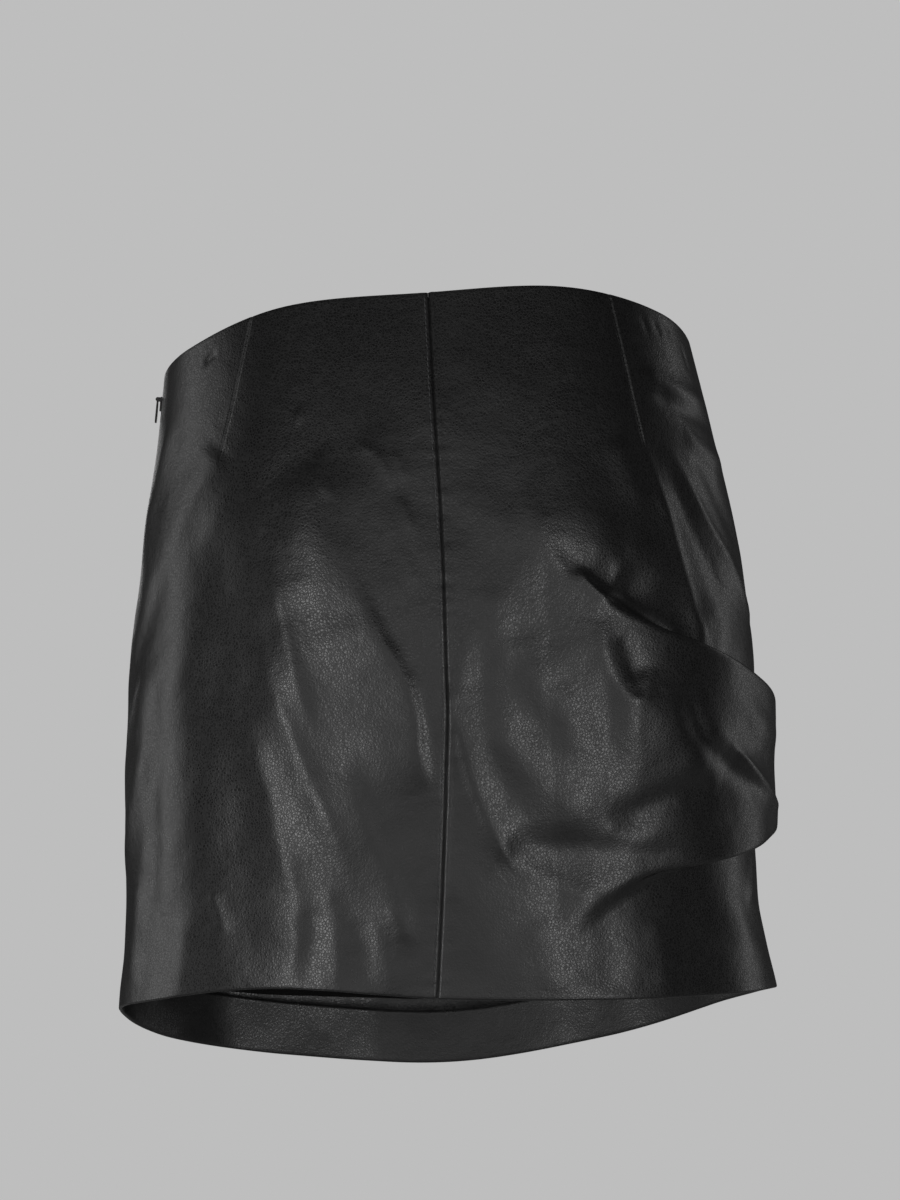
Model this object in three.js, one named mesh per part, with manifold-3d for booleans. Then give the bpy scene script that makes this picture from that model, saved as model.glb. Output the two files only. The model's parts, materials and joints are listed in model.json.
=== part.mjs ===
// A leather mini skirt in its worn shape: two back panels joined by a centre seam, each with a waist dart,
// a front panel whose hem dips, a concealed zip in the left side seam, and a draped fold on the right hip.
// Millimetres, +Z up. +X is the wearer's right and +Y the wearer's front. The origin is the centre of the
// waist opening, level with its sides, which is where the wearer holds the skirt.
import * as THREE from "three";
import Module from "manifold-3d";

const wasm = await Module();
wasm.setup();

// Driving sizes
const WALL = 1.5; // leather with its backing
const HEM_WALL = 2.5; // where the hem is turned up
const HEM_TURN = 30; // height of the turned hem
const SEAM_GAP = 0.3; // between two panels, and between a panel and what lies on it
const SEAM_DIP = 0.7; // how far a seam's edges roll inwards
const SEAM_ROLL = 2.4; // from a seam to where the cloth is level again
const DART_DIP = 1.3; // depth of the sewn line of a dart
const CORNER_FULLNESS = 0.02; // how much squarer than an ellipse the ring is
const RIGHT_SEAM = 94; // degrees round from the centre back
const LEFT_SEAM = -90;

const LEATHER = { color: 0x141415, roughness: 0.38, metalness: 0 };
const TAPE = { color: 0x0e0e0f, roughness: 0.85, metalness: 0 };
const METAL = { color: 0x1b1b1d, roughness: 0.4, metalness: 0.8 };

// Half sizes of the ring at even steps down the cloth, from the waist edge to the hem.
const SECTIONS = [
  { left: 150, right: 151, back: 98, front: 96 },
  { left: 156, right: 161, back: 108, front: 101 },
  { left: 164, right: 170.5, back: 116, front: 106 },
  { left: 171.5, right: 177, back: 122, front: 109 },
  { left: 177, right: 180, back: 125, front: 111 },
  { left: 180.5, right: 178.5, back: 125, front: 112 },
  { left: 181.5, right: 177.5, back: 123.5, front: 113 },
  { left: 182.5, right: 179.5, back: 122, front: 115 },
  { left: 188, right: 187, back: 122, front: 118 },
];

// Heights of the waist edge and the hem every 30 degrees round. 0 is the centre back, 90 the right side.
const EDGES = [
  { around: -180, waist: -22, hem: -408 },
  { around: -150, waist: -20, hem: -399 },
  { around: -120, waist: -12, hem: -382 },
  { around: -90, waist: -3, hem: -361 },
  { around: -60, waist: 12.5, hem: -350 },
  { around: -30, waist: 31.5, hem: -342 },
  { around: 0, waist: 35.5, hem: -350 },
  { around: 30, waist: 37, hem: -354.5 },
  { around: 60, waist: 22.5, hem: -357 },
  { around: 90, waist: 3, hem: -360 },
  { around: 120, waist: -8, hem: -371 },
  { around: 150, waist: -18, hem: -394 },
];

// The draped fold, every 15 degrees round: the heights of its two lips, how far the cloth between them
// stands off, how far each lip overlaps the cloth beside it, and half the height that a lip takes up.
const DRAPE_START = 20;
const DRAPE_STEP = 15;
const DRAPE = [
  { top: -108, bottom: -318, standOff: 0, overlap: 0, half: 14 },
  { top: -142, bottom: -292, standOff: 5, overlap: 1.5, half: 12 },
  { top: -164, bottom: -282, standOff: 9, overlap: 6, half: 10 },
  { top: -181, bottom: -275, standOff: 11.5, overlap: 7.5, half: 9 },
  { top: -196, bottom: -268, standOff: 12.5, overlap: 8, half: 9 },
  { top: -206, bottom: -262, standOff: 12.5, overlap: 8, half: 9 },
  { top: -211, bottom: -256, standOff: 10, overlap: 6, half: 9 },
  { top: -212, bottom: -251, standOff: 6, overlap: 3, half: 9 },
  { top: -209, bottom: -250, standOff: 0, overlap: 0, half: 10 },
  { top: -196, bottom: -254, standOff: 0, overlap: 0, half: 13 },
  { top: -176, bottom: -258, standOff: 0, overlap: 0, half: 17 },
  { top: -154, bottom: -260, standOff: 0, overlap: 0, half: 22 },
  { top: -137, bottom: -262, standOff: 0, overlap: 0, half: 25 },
  { top: -130, bottom: -262, standOff: 0, overlap: 0, half: 26 },
];

// Sideways places of the centre back seam and the darts, in degrees round, from the waist down.
const BACK_SEAM = [0.9, 1.2, 1.7, 1.6, 1.1, -0.3, -1.9];
const DARTS = {
  left: { top: -39, foot: -45, footHeight: -48 },
  right: { top: 42, foot: 44, footHeight: -51 },
};

// The largest folds. Each runs through three places, as degrees round and height, and lifts the cloth
// by "lift" (a trough where negative), fading over "width" to each side.
const FOLDS = [
  // left of the centre back
  { from: [-45, -46], via: [-51, -66], to: [-62, -106], lift: 1.3, width: 11 },
  { from: [-40, -60], via: [-41, -184], to: [-38, -325], lift: -2.2, width: 15 },
  { from: [-54, -100], via: [-52, -184], to: [-51, -300], lift: 1.5, width: 13 },
  { from: [-60, -170], via: [-61, -225], to: [-62, -300], lift: -1.2, width: 9 },
  { from: [-24, -55], via: [-22.5, -98], to: [-21, -140], lift: 1.6, width: 21 },
  { from: [-30.5, -108], via: [-26.5, -157], to: [-22, -206], lift: 1.5, width: 9 },
  { from: [-33, -150], via: [-24, -224], to: [-15, -292], lift: 2, width: 12 },
  { from: [-37, -180], via: [-28, -270], to: [-28, -345], lift: 2.1, width: 13 },
  { from: [-15, -112], via: [-5, -185], to: [-2, -238], lift: 2.6, width: 11 },
  { from: [-17, -218], via: [-13, -261], to: [-7, -312], lift: 1.5, width: 13 },
  { from: [-60, -112], via: [-69, -150], to: [-79, -185], lift: -1.8, width: 11 },
  { from: [-62, -205], via: [-71, -235], to: [-80, -268], lift: 1.8, width: 9 },
  { from: [-66, -28], via: [-70, -55], to: [-76, -88], lift: 1.2, width: 9 },
  // right of the centre back
  { from: [5.5, -146], via: [3.2, -208], to: [13.5, -284], lift: 2.1, width: 8 },
  { from: [9, -150], via: [8.3, -206], to: [15, -258], lift: -0.8, width: 8 },
  { from: [7, -178], via: [14, -218], to: [29, -262], lift: 1.9, width: 16 },
  { from: [16, -152], via: [20, -192], to: [28, -226], lift: 1.4, width: 12 },
  { from: [16, -98], via: [25, -94], to: [36, -102], lift: 1.8, width: 20 },
  { from: [30, -146], via: [30.5, -170], to: [36, -190], lift: 1.4, width: 7 },
  { from: [30, -205], via: [43, -206], to: [58, -230], lift: 3.6, width: 28 },
  { from: [33, -126], via: [41, -142], to: [53, -160], lift: -4.2, width: 10 },
  { from: [26, -118], via: [28.5, -129], to: [32, -139], lift: 2, width: 5 },
  { from: [30, -260], via: [40, -248], to: [53, -241], lift: -2.4, width: 10 },
  { from: [57, -218], via: [71, -240], to: [87, -262], lift: 2.6, width: 6 },
  { from: [45, -186], via: [56, -228], to: [74, -253], lift: -2.2, width: 7 },
  { from: [11, -264], via: [27, -276], to: [50, -279], lift: -2.8, width: 11 },
  { from: [12, -276], via: [19, -287], to: [28, -300], lift: 1.5, width: 8 },
  { from: [62, -198], via: [74, -212], to: [86, -220], lift: 1.6, width: 9 },
  { from: [15, -308], via: [18.5, -330], to: [18.5, -352], lift: 1.1, width: 12 },
  { from: [29, -306], via: [29, -330], to: [28.5, -354], lift: -0.9, width: 11 },
  { from: [38.5, -310], via: [39.5, -332], to: [39, -354], lift: 0.8, width: 8 },
  { from: [80, -284], via: [76, -296], to: [68.5, -310], lift: 1.3, width: 6 },
  { from: [43.5, -49], via: [47.5, -102], to: [55.5, -168], lift: 1.7, width: 7 },
  { from: [52, -55], via: [69, -112], to: [85, -156], lift: 1.8, width: 7 },
  { from: [48, -56], via: [57.5, -106], to: [66, -146], lift: -1.3, width: 6 },
  { from: [60, -50], via: [71, -87], to: [84, -118], lift: -1.6, width: 8 },
  { from: [37, -46], via: [39, -64], to: [40, -84], lift: 1.1, width: 9 },
  { from: [47, -10], via: [60, -21], to: [80, -30], lift: 1.4, width: 6 },
  { from: [49, -21], via: [62, -32], to: [78, -42], lift: -1.4, width: 6 },
  { from: [57, -44], via: [67, -55], to: [82, -62], lift: 1.4, width: 6 },
  // round the front, as the drape pulls on it
  { from: [112, -222], via: [151, -193], to: [190, -150], lift: 3, width: 14 },
  { from: [112, -236], via: [156, -243], to: [205, -262], lift: 3.2, width: 14 },
  { from: [114, -250], via: [149, -294], to: [172, -356], lift: 2.8, width: 13 },
  { from: [120, -214], via: [152, -214], to: [186, -204], lift: -2.6, width: 11 },
  { from: [128, -262], via: [148, -325], to: [150, -412], lift: -2.6, width: 14 },
  { from: [108, -56], via: [118, -106], to: [126, -158], lift: 2, width: 12 },
  { from: [160, -60], via: [158, -100], to: [162, -150], lift: 1, width: 18 },
  { from: [206, -60], via: [205, -120], to: [208, -190], lift: 1.2, width: 20 },
  { from: [218, -190], via: [222, -300], to: [224, -425], lift: 2.6, width: 17 },
  { from: [242, -140], via: [245, -260], to: [246, -385], lift: -2.2, width: 16 },
  { from: [188, -280], via: [192, -340], to: [195, -425], lift: 2.2, width: 14 },
];

// Zip sizes. "Below" lengths are from the waist edge. The slider's own frame has its origin on the
// leather, x inwards, y across the seam and z up it.
const ZIP = {
  headBelow: 13,
  tapeBelow: 3,
  coilBelow: 19,
  foot: 180,
  tapeWide: 12,
  tapeThick: 0.6,
  tapeGap: 1.1, // from the seam to a tape's edge
  coilHalf: 2.1,
  coilThick: 1.4,
};
const SLIDER = {
  crownWide: 3.6,
  crownTall: 8.4,
  crownThick: 1.1,
  neckWide: 1.2,
  neckTall: 5,
  bodyWide: 7.4,
  bodyTall: 9,
  bodyThick: 3,
  earThick: 0.8,
  earInner: 1.4, // from the middle to an ear's inner face
  earRadius: 1.2,
  pinRadius: 0.4,
  pinOut: 2.9, // pin's middle from the leather
  pinUp: 2.6,
};
const PULL = { halfTop: 1.1, halfFoot: 2.2, long: 13.6, thick: 1.1, eyeOuter: 1.15, eyeInner: 0.7 };

// Working-out of smooth values

function catmullRom(p0, p1, p2, p3, t) {
  const bend = 3 * (p1 - p2) + p3 - p0;
  return p1 + 0.5 * t * (p2 - p0 + t * (2 * p0 - 5 * p1 + 4 * p2 - p3 + t * bend));
}

// A smooth value between the rows of a list that goes round a closed ring.
function onRing(values, place) {
  const n = values.length;
  const i = Math.floor(place);
  const at = (k) => values[(((i + k) % n) + n) % n];
  return catmullRom(at(-1), at(0), at(1), at(2), place - i);
}

// A smooth value between the rows of a list with two ends.
function onLine(values, place) {
  const last = values.length - 1;
  const held = Math.min(Math.max(place, 0), last);
  const i = Math.min(Math.floor(held), last - 1);
  const at = (k) => {
    if (k < 0) return 2 * values[0] - values[1];
    return k > last ? 2 * values[last] - values[last - 1] : values[k];
  };
  return catmullRom(at(i - 1), at(i), at(i + 1), at(i + 2), held - i);
}

function smooth(x) {
  const t = Math.min(Math.max(x, 0), 1);
  return t * t * (3 - 2 * t);
}

const column = (rows, name) => rows.map((row) => row[name]);
const WAIST = column(EDGES, "waist");
const HEM = column(EDGES, "hem");
const SECTION = Object.fromEntries(Object.keys(SECTIONS[0]).map((name) => [name, column(SECTIONS, name)]));
const LIP = Object.fromEntries(Object.keys(DRAPE[0]).map((name) => [name, column(DRAPE, name)]));

const edgeStep = 360 / EDGES.length;
const waistHeight = (around) => onRing(WAIST, (around + 180) / edgeStep);
const hemHeight = (around) => onRing(HEM, (around + 180) / edgeStep);
const lipValue = (name, around) => onLine(LIP[name], (around - DRAPE_START) / DRAPE_STEP);

// 0 at the waist edge and 1 at the hem.
function downShare(around, height) {
  const waist = waistHeight(around);
  return (waist - height) / (waist - hemHeight(around));
}

// Rough length of one degree round the skirt: longest across the back and shortest at the sides.
const mmPerDegree = (around) => 2.55 + 0.5 * Math.cos(THREE.MathUtils.degToRad(2 * around));

function backSeam(height) {
  const share = downShare(0, height);
  return onLine(BACK_SEAM, share * (BACK_SEAM.length - 1));
}

function dartPlace(dart, height) {
  const top = waistHeight(dart.top);
  const share = Math.min(Math.max((top - height) / (top - dart.footHeight), 0), 1);
  return dart.top + (dart.foot - dart.top) * share;
}

// The shape of the cloth

function ringPoint(around, height) {
  const down = downShare(around, height) * (SECTIONS.length - 1);
  const angle = THREE.MathUtils.degToRad(around);
  const [sin, cos] = [Math.sin(angle), Math.cos(angle)];
  const side = onLine(sin < 0 ? SECTION.left : SECTION.right, down);
  const deep = onLine(cos > 0 ? SECTION.back : SECTION.front, down);
  const full = 1 + (CORNER_FULLNESS * (1 - Math.cos(4 * angle))) / 2;
  return new THREE.Vector3(side * sin * full, -deep * cos * full, height);
}

// A fold's curve through its three places, cut into short straight pieces.
function foldLine({ from, via, to }) {
  const PIECES = 8;
  return Array.from({ length: PIECES + 1 }, (_, k) => {
    const t = k / PIECES;
    const [a, b, c] = [(1 - t) * (1 - 2 * t), 4 * t * (1 - t), t * (2 * t - 1)];
    return { around: a * from[0] + b * via[0] + c * to[0], height: a * from[1] + b * via[1] + c * to[1] };
  });
}

const FOLD_LINES = FOLDS.map((fold) => ({ ...fold, line: foldLine(fold) }));

// How much one fold lifts the cloth: full on its line, fading to the sides and at both ends.
function foldLift(fold, around, height) {
  const heights = fold.line.map((place) => place.height);
  const reach = 3 * fold.width;
  if (height > Math.max(...heights) + reach || height < Math.min(...heights) - reach) return 0;
  const scale = mmPerDegree(around);
  const pieces = fold.line.length - 1;
  let nearest = Infinity;
  let along = 0;
  for (let k = 0; k < pieces; k++) {
    const [here, next] = [fold.line[k], fold.line[k + 1]];
    const [runX, runZ] = [(next.around - here.around) * scale, next.height - here.height];
    const [offX, offZ] = [(around - here.around) * scale, height - here.height];
    const t = Math.min(Math.max((offX * runX + offZ * runZ) / (runX * runX + runZ * runZ), 0), 1);
    const distance = Math.hypot(offX - t * runX, offZ - t * runZ);
    if (distance < nearest) {
      nearest = distance;
      along = (k + t) / pieces;
    }
  }
  const ends = smooth(0.25 + along * 4) * smooth(0.25 + (1 - along) * 4);
  return fold.lift * ends * Math.exp(-((nearest / fold.width) ** 2));
}

const foldsOver = (around, height) =>
  FOLD_LINES.reduce((sum, fold) => sum + foldLift(fold, around, height), 0);

// One lip of the drape, across which the cloth doubles back on itself. w runs from -1 above to 1 below.
const lipTurn = (w) => (Math.abs(w) < 1 ? 1.25 * Math.sin(Math.PI * w) * (1 - w * w) : 0);
const lipRise = (w) => smooth((w + 0.75) / 1.35);

function drapeOffset(around, height) {
  const half = lipValue("half", around);
  const upper = (lipValue("top", around) - height) / half;
  const lower = (lipValue("bottom", around) - height) / half;
  return {
    out: Math.max(lipValue("standOff", around), 0) * (lipRise(upper) + lipRise(-lower) - 1),
    up: Math.max(lipValue("overlap", around), 0) * (lipTurn(upper) + lipTurn(lower)),
  };
}

// Both edges of a seam roll inwards. The last seam is the left one again, as the front panel counts it.
function seamDip(around, height) {
  const seams = [backSeam(height), RIGHT_SEAM, LEFT_SEAM, LEFT_SEAM + 360];
  const nearest = Math.min(...seams.map((seam) => Math.abs(around - seam)));
  return SEAM_DIP * Math.max(1 - (nearest * mmPerDegree(around)) / SEAM_ROLL, 0);
}

// The sewn line of a dart is drawn in as far as its foot.
function dartDip(around, height) {
  let dip = 0;
  for (const dart of Object.values(DARTS)) {
    const across = ((around - dartPlace(dart, height)) * mmPerDegree(around)) / (SEAM_ROLL * 0.5);
    const end = smooth((height - dart.footHeight + 6) / 8);
    dip += DART_DIP * end * Math.exp(-across * across);
  }
  return dip;
}

function surfacePoint(around, height) {
  const point = ringPoint(around, height);
  const wide = ringPoint(around + 0.5, height).sub(ringPoint(around - 0.5, height));
  const outward = new THREE.Vector3(wide.y, -wide.x, 0).normalize();
  const drape = drapeOffset(around, height);
  const dip = seamDip(around, height) + dartDip(around, height);
  point.addScaledVector(outward, foldsOver(around, height) + drape.out - dip);
  point.z += drape.up;
  return point;
}

// A point of the cloth, moved inwards along its own normal.
function clothPoint(around, height, inward) {
  const point = surfacePoint(around, height);
  if (inward === 0) return point;
  const STEP_ROUND = 0.4;
  const STEP_DOWN = 0.7;
  const wide = surfacePoint(around + STEP_ROUND, height).sub(surfacePoint(around - STEP_ROUND, height));
  const tall = surfacePoint(around, height + STEP_DOWN).sub(surfacePoint(around, height - STEP_DOWN));
  return point.addScaledVector(wide.cross(tall).normalize(), -inward);
}

function wallAt(around, height) {
  const aboveHem = height - hemHeight(around);
  return aboveHem < HEM_TURN + 1 ? HEM_WALL : WALL;
}

// Rows down the cloth: close together at the waist edge, across each lip and at the turned hem.
function rowHeights(around) {
  const waist = waistHeight(around);
  const hem = hemHeight(around);
  const half = lipValue("half", around);
  const top = lipValue("top", around);
  const bottom = lipValue("bottom", around);
  const even = (from, to, steps) => spread(from, to, steps).slice(0, -1);
  const WAIST_ROWS = [0, 4, 8, 18, 22];
  const HEM_ROWS = [HEM_TURN + 2, HEM_TURN, HEM_TURN / 2, 0];
  return [
    ...WAIST_ROWS.slice(0, -1).map((below) => waist - below),
    ...even(waist - WAIST_ROWS.at(-1), top + half, 7),
    ...even(top + half, top - half, 8),
    ...even(top - half, bottom + half, 8),
    ...even(bottom + half, bottom - half, 8),
    ...even(bottom - half, hem + HEM_ROWS[0], 3),
    ...HEM_ROWS.map((above) => hem + above),
  ];
}

// A closed wall between an outer and an inner grid of points, given as columns of points down the cloth.
function wallGeometry(outer, inner) {
  const columns = outer.length;
  const rows = outer[0].length;
  const positions = [...outer, ...inner].flat().flatMap((p) => [p.x, p.y, p.z]);
  const index = [];
  const face = (a, b, c, d) => index.push(a, b, c, a, c, d);
  const at = (layer, i, j) => (layer * columns + i) * rows + j;
  for (let i = 0; i + 1 < columns; i++) {
    for (let j = 0; j + 1 < rows; j++) {
      face(at(0, i, j), at(0, i, j + 1), at(0, i + 1, j + 1), at(0, i + 1, j));
      face(at(1, i, j), at(1, i + 1, j), at(1, i + 1, j + 1), at(1, i, j + 1));
    }
    face(at(0, i, 0), at(0, i + 1, 0), at(1, i + 1, 0), at(1, i, 0));
    face(at(0, i, rows - 1), at(1, i, rows - 1), at(1, i + 1, rows - 1), at(0, i + 1, rows - 1));
  }
  for (let j = 0; j + 1 < rows; j++) {
    face(at(0, 0, j), at(1, 0, j), at(1, 0, j + 1), at(0, 0, j + 1));
    face(at(0, columns - 1, j), at(0, columns - 1, j + 1), at(1, columns - 1, j + 1), at(1, columns - 1, j));
  }
  const geometry = new THREE.BufferGeometry();
  geometry.setAttribute("position", new THREE.Float32BufferAttribute(positions, 3));
  geometry.setIndex(index);
  return geometry;
}

// Values evenly spread from one to another, both ends included.
function spread(from, to, steps) {
  return Array.from({ length: steps + 1 }, (_, k) => from + ((to - from) * k) / steps);
}

// The angle that a length takes up at a place on the skirt.
function degreesFor(length, around, height) {
  return length / ringPoint(around + 0.5, height).distanceTo(ringPoint(around - 0.5, height));
}

// Half the gap at the zip seam, in degrees, opened where the slider's neck passes through.
function zipHalfGap(height) {
  const below = waistHeight(LEFT_SEAM) - height;
  const open = Math.min(Math.max(Math.min((below - 4) / 4, (22 - below) / 4), 0), 1);
  const gap = SEAM_GAP / 2 + (open * (SLIDER.neckWide + SEAM_GAP)) / 2;
  return degreesFor(gap, LEFT_SEAM, height);
}

// Angles of a panel's columns from one seam to another, with columns at each roll and along the dart.
function panelColumns(from, to, dart, steps, height) {
  const rollFrom = degreesFor(SEAM_ROLL, from, height);
  const rollTo = degreesFor(SEAM_ROLL, to, height);
  if (dart === null) return [from, ...spread(from + rollFrom, to - rollTo, steps[0]), to];
  const place = dartPlace(dart, height);
  const roll = degreesFor(SEAM_ROLL, place, height);
  const before = spread(from + rollFrom, place - roll, steps[0]);
  const after = spread(place + roll, to - rollTo, steps[1]);
  return [from, ...before, place, ...after, to];
}

const PANEL_COLUMNS = {
  back_left_panel: (height) => {
    const seam = backSeam(height) - degreesFor(SEAM_GAP / 2, 0, height);
    return panelColumns(LEFT_SEAM + zipHalfGap(height), seam, DARTS.left, [11, 11], height);
  },
  back_right_panel: (height) => {
    const seam = backSeam(height) + degreesFor(SEAM_GAP / 2, 0, height);
    const side = RIGHT_SEAM - degreesFor(SEAM_GAP / 2, RIGHT_SEAM, height);
    return panelColumns(seam, side, DARTS.right, [12, 13], height);
  },
  front_panel: (height) => {
    const side = RIGHT_SEAM + degreesFor(SEAM_GAP / 2, RIGHT_SEAM, height);
    return panelColumns(side, LEFT_SEAM + 360 - zipHalfGap(height), null, [29], height);
  },
};

// A panel's grid is worked out point by point, because a column's angle changes with its height.
function panelMesh(name) {
  const columns = PANEL_COLUMNS[name];
  const grid = columns(0).map((near, i) =>
    rowHeights(near).map((rough, j) => {
      const around = columns(rough)[i];
      return { around, height: rowHeights(around)[j] };
    }),
  );
  const layer = (inward) =>
    grid.map((line) => line.map((p) => clothPoint(p.around, p.height, inward * wallAt(p.around, p.height))));
  return named(name, wallGeometry(layer(0), layer(1)), LEATHER);
}

function named(name, geometry, look) {
  const mesh = new THREE.Mesh(geometry, new THREE.MeshStandardMaterial(look));
  mesh.name = name;
  return mesh;
}

// The zip

// A strip on the inside of the cloth along the zip seam, between two distances across and down to the
// zip's foot.
function zipStrip(name, across, below, depth, thick) {
  const ROWS = 12;
  const top = waistHeight(LEFT_SEAM) - below;
  const foot = waistHeight(LEFT_SEAM) - ZIP.foot;
  const layer = (inward) =>
    spread(across[0], across[1], 2).map((side) =>
      spread(top, foot, ROWS).map((height) => {
        const around = LEFT_SEAM + degreesFor(side, LEFT_SEAM, height);
        return clothPoint(around, height, inward);
      }),
    );
  return named(name, wallGeometry(layer(depth), layer(depth + thick)), TAPE);
}

function solidOf(geometry) {
  const merged = mergeByPosition(geometry);
  return new wasm.Manifold(
    new wasm.Mesh({
      numProp: 3,
      vertProperties: Float32Array.from(merged.attributes.position.array),
      triVerts: Uint32Array.from(merged.index.array),
    }),
  );
}

// The same mesh with vertices at one place made one, which a solid needs.
function mergeByPosition(geometry) {
  const source = geometry.getAttribute("position");
  const order = geometry.index ? Array.from(geometry.index.array) : Array.from(Array(source.count).keys());
  const seen = new Map();
  const positions = [];
  const index = order.map((i) => {
    const place = [source.getX(i), source.getY(i), source.getZ(i)];
    const key = place.map((x) => Math.round(x * 1e4)).join();
    if (!seen.has(key)) {
      seen.set(key, positions.length / 3);
      positions.push(...place);
    }
    return seen.get(key);
  });
  const kept = [];
  for (let i = 0; i < index.length; i += 3) {
    const corner = index.slice(i, i + 3);
    if (new Set(corner).size === 3) kept.push(...corner);
  }
  const merged = new THREE.BufferGeometry();
  merged.setAttribute("position", new THREE.Float32BufferAttribute(positions, 3));
  merged.setIndex(kept);
  return merged;
}

function geometryOf(solid) {
  const mesh = solid.getMesh();
  const geometry = new THREE.BufferGeometry();
  const positions = new Float32Array(mesh.numVert * 3);
  for (let i = 0; i < mesh.numVert; i++) {
    positions.set(mesh.vertProperties.subarray(i * mesh.numProp, i * mesh.numProp + 3), i * 3);
  }
  geometry.setAttribute("position", new THREE.BufferAttribute(positions, 3));
  geometry.setIndex(new THREE.BufferAttribute(mesh.triVerts, 1));
  return geometry;
}

// A block given by its middle and sizes, in the zip's frame.
const block = (middle, size) => solidOf(new THREE.BoxGeometry(...size).translate(...middle));
// A round bar that lies across the seam.
const barAcross = (radius, wide, middle) =>
  solidOf(new THREE.CylinderGeometry(radius, radius, wide, 20).translate(...middle));

function sliderMesh() {
  const s = SLIDER;
  const crown = -SEAM_GAP - s.crownThick / 2;
  const bodyFace = WALL + SEAM_DIP + 2 * SEAM_GAP + ZIP.tapeThick;
  const parts = [
    block([crown, 0, 0], [s.crownThick, s.crownWide, s.crownTall]),
    block([(crown + bodyFace) / 2, 0, 0], [bodyFace - crown + 1, s.neckWide, s.neckTall]),
    block([bodyFace + s.bodyThick / 2, 0, 0], [s.bodyThick, s.bodyWide, s.bodyTall]),
    barAcross(s.pinRadius, 2 * s.earInner + s.earThick, [-s.pinOut, 0, s.pinUp]),
  ];
  for (const side of [-1, 1]) {
    const y = side * (s.earInner + s.earThick / 2);
    const reach = s.pinOut + crown;
    parts.push(barAcross(s.earRadius, s.earThick, [-s.pinOut, y, s.pinUp]));
    parts.push(block([crown - reach / 2, y, s.pinUp], [reach, s.earThick, 2 * s.earRadius]));
  }
  return named("zip_slider", geometryOf(parts.reduce((sum, part) => sum.add(part))), METAL);
}

// The pull hangs from the slider's pin: an eye round the pin and a tab that widens to a round foot.
function pullMesh() {
  const p = PULL;
  const outline = new THREE.Shape();
  const footTurn = p.long - p.halfFoot;
  outline.moveTo(-p.halfTop, 0);
  outline.lineTo(-p.halfFoot, -footTurn);
  outline.absarc(0, -footTurn, p.halfFoot, Math.PI, 2 * Math.PI, false);
  outline.lineTo(p.halfTop, 0);
  outline.closePath();
  const axes = [new THREE.Vector3(0, 1, 0), new THREE.Vector3(0, 0, 1), new THREE.Vector3(1, 0, 0)];
  const upright = new THREE.Matrix4().makeBasis(...axes);
  const shape = { depth: p.thick, bevelEnabled: false, curveSegments: 12 };
  const plate = new THREE.ExtrudeGeometry(outline, shape).applyMatrix4(upright).translate(-p.thick / 2, 0, 0);
  const tab = solidOf(plate).add(barAcross(p.eyeOuter, 2 * p.halfTop, [0, 0, 0]));
  const pull = tab.subtract(barAcross(p.eyeInner, 4 * p.halfTop, [0, 0, 0]));
  const mesh = named("zip_pull", geometryOf(pull), METAL);
  mesh.position.set(-SLIDER.pinOut, 0, SLIDER.pinUp);
  return mesh;
}

// The slider and its pull, set on the leather and leaning with it.
function zipHead() {
  const height = waistHeight(LEFT_SEAM) - ZIP.headBelow;
  const above = ringPoint(LEFT_SEAM, height + SLIDER.crownTall / 2);
  const below = ringPoint(LEFT_SEAM, height - SLIDER.crownTall / 2);
  const head = new THREE.Group();
  head.add(sliderMesh(), pullMesh());
  head.position.copy(ringPoint(LEFT_SEAM, height));
  head.rotation.y = Math.atan2(above.x - below.x, above.z - below.z);
  return head;
}

const skirt = new THREE.Group();
for (const name of Object.keys(PANEL_COLUMNS)) skirt.add(panelMesh(name));
const tapeDepth = WALL + SEAM_GAP;
const coilDepth = tapeDepth + ZIP.tapeThick + SEAM_GAP;
skirt.add(
  zipStrip("zip_tape_back", [ZIP.tapeGap, ZIP.tapeWide], ZIP.tapeBelow, tapeDepth, ZIP.tapeThick),
  zipStrip("zip_tape_front", [-ZIP.tapeWide, -ZIP.tapeGap], ZIP.tapeBelow, tapeDepth, ZIP.tapeThick),
  zipStrip("zip_coil", [-ZIP.coilHalf, ZIP.coilHalf], ZIP.coilBelow, coilDepth, ZIP.coilThick),
  zipHead(),
);

export default skirt;
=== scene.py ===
"""A black leather mini skirt in its worn shape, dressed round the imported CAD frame.

Lengths in the tables are millimetres and places on the skirt are given as degrees round (0 at the centre
back, 90 at the wearer's right side) and height above the waist opening. Meshes are in metres.
"""

import json
import logging
import math
from dataclasses import dataclass
from enum import Enum

import bpy
import numpy as np
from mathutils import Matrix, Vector
from numpy.typing import NDArray

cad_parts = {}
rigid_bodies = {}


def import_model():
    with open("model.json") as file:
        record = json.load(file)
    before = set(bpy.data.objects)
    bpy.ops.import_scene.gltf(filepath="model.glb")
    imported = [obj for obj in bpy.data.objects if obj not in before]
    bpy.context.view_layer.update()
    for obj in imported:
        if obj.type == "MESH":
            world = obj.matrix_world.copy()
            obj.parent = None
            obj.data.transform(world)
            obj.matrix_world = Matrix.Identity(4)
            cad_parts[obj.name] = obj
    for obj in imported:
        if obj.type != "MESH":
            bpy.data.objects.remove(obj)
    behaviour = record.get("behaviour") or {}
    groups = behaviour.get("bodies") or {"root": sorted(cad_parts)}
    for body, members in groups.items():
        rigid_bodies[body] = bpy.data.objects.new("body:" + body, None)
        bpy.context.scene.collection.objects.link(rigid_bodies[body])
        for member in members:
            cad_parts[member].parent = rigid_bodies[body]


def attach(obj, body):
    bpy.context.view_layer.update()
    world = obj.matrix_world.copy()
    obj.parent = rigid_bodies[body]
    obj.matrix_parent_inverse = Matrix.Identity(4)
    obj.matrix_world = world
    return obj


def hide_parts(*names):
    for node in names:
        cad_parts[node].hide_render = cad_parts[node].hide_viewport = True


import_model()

Array = NDArray[np.float64]
Faces = list[NDArray[np.int64]]
Row = tuple[float, ...]
Pair = tuple[float, float]
Triple = tuple[float, float, float]
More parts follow.
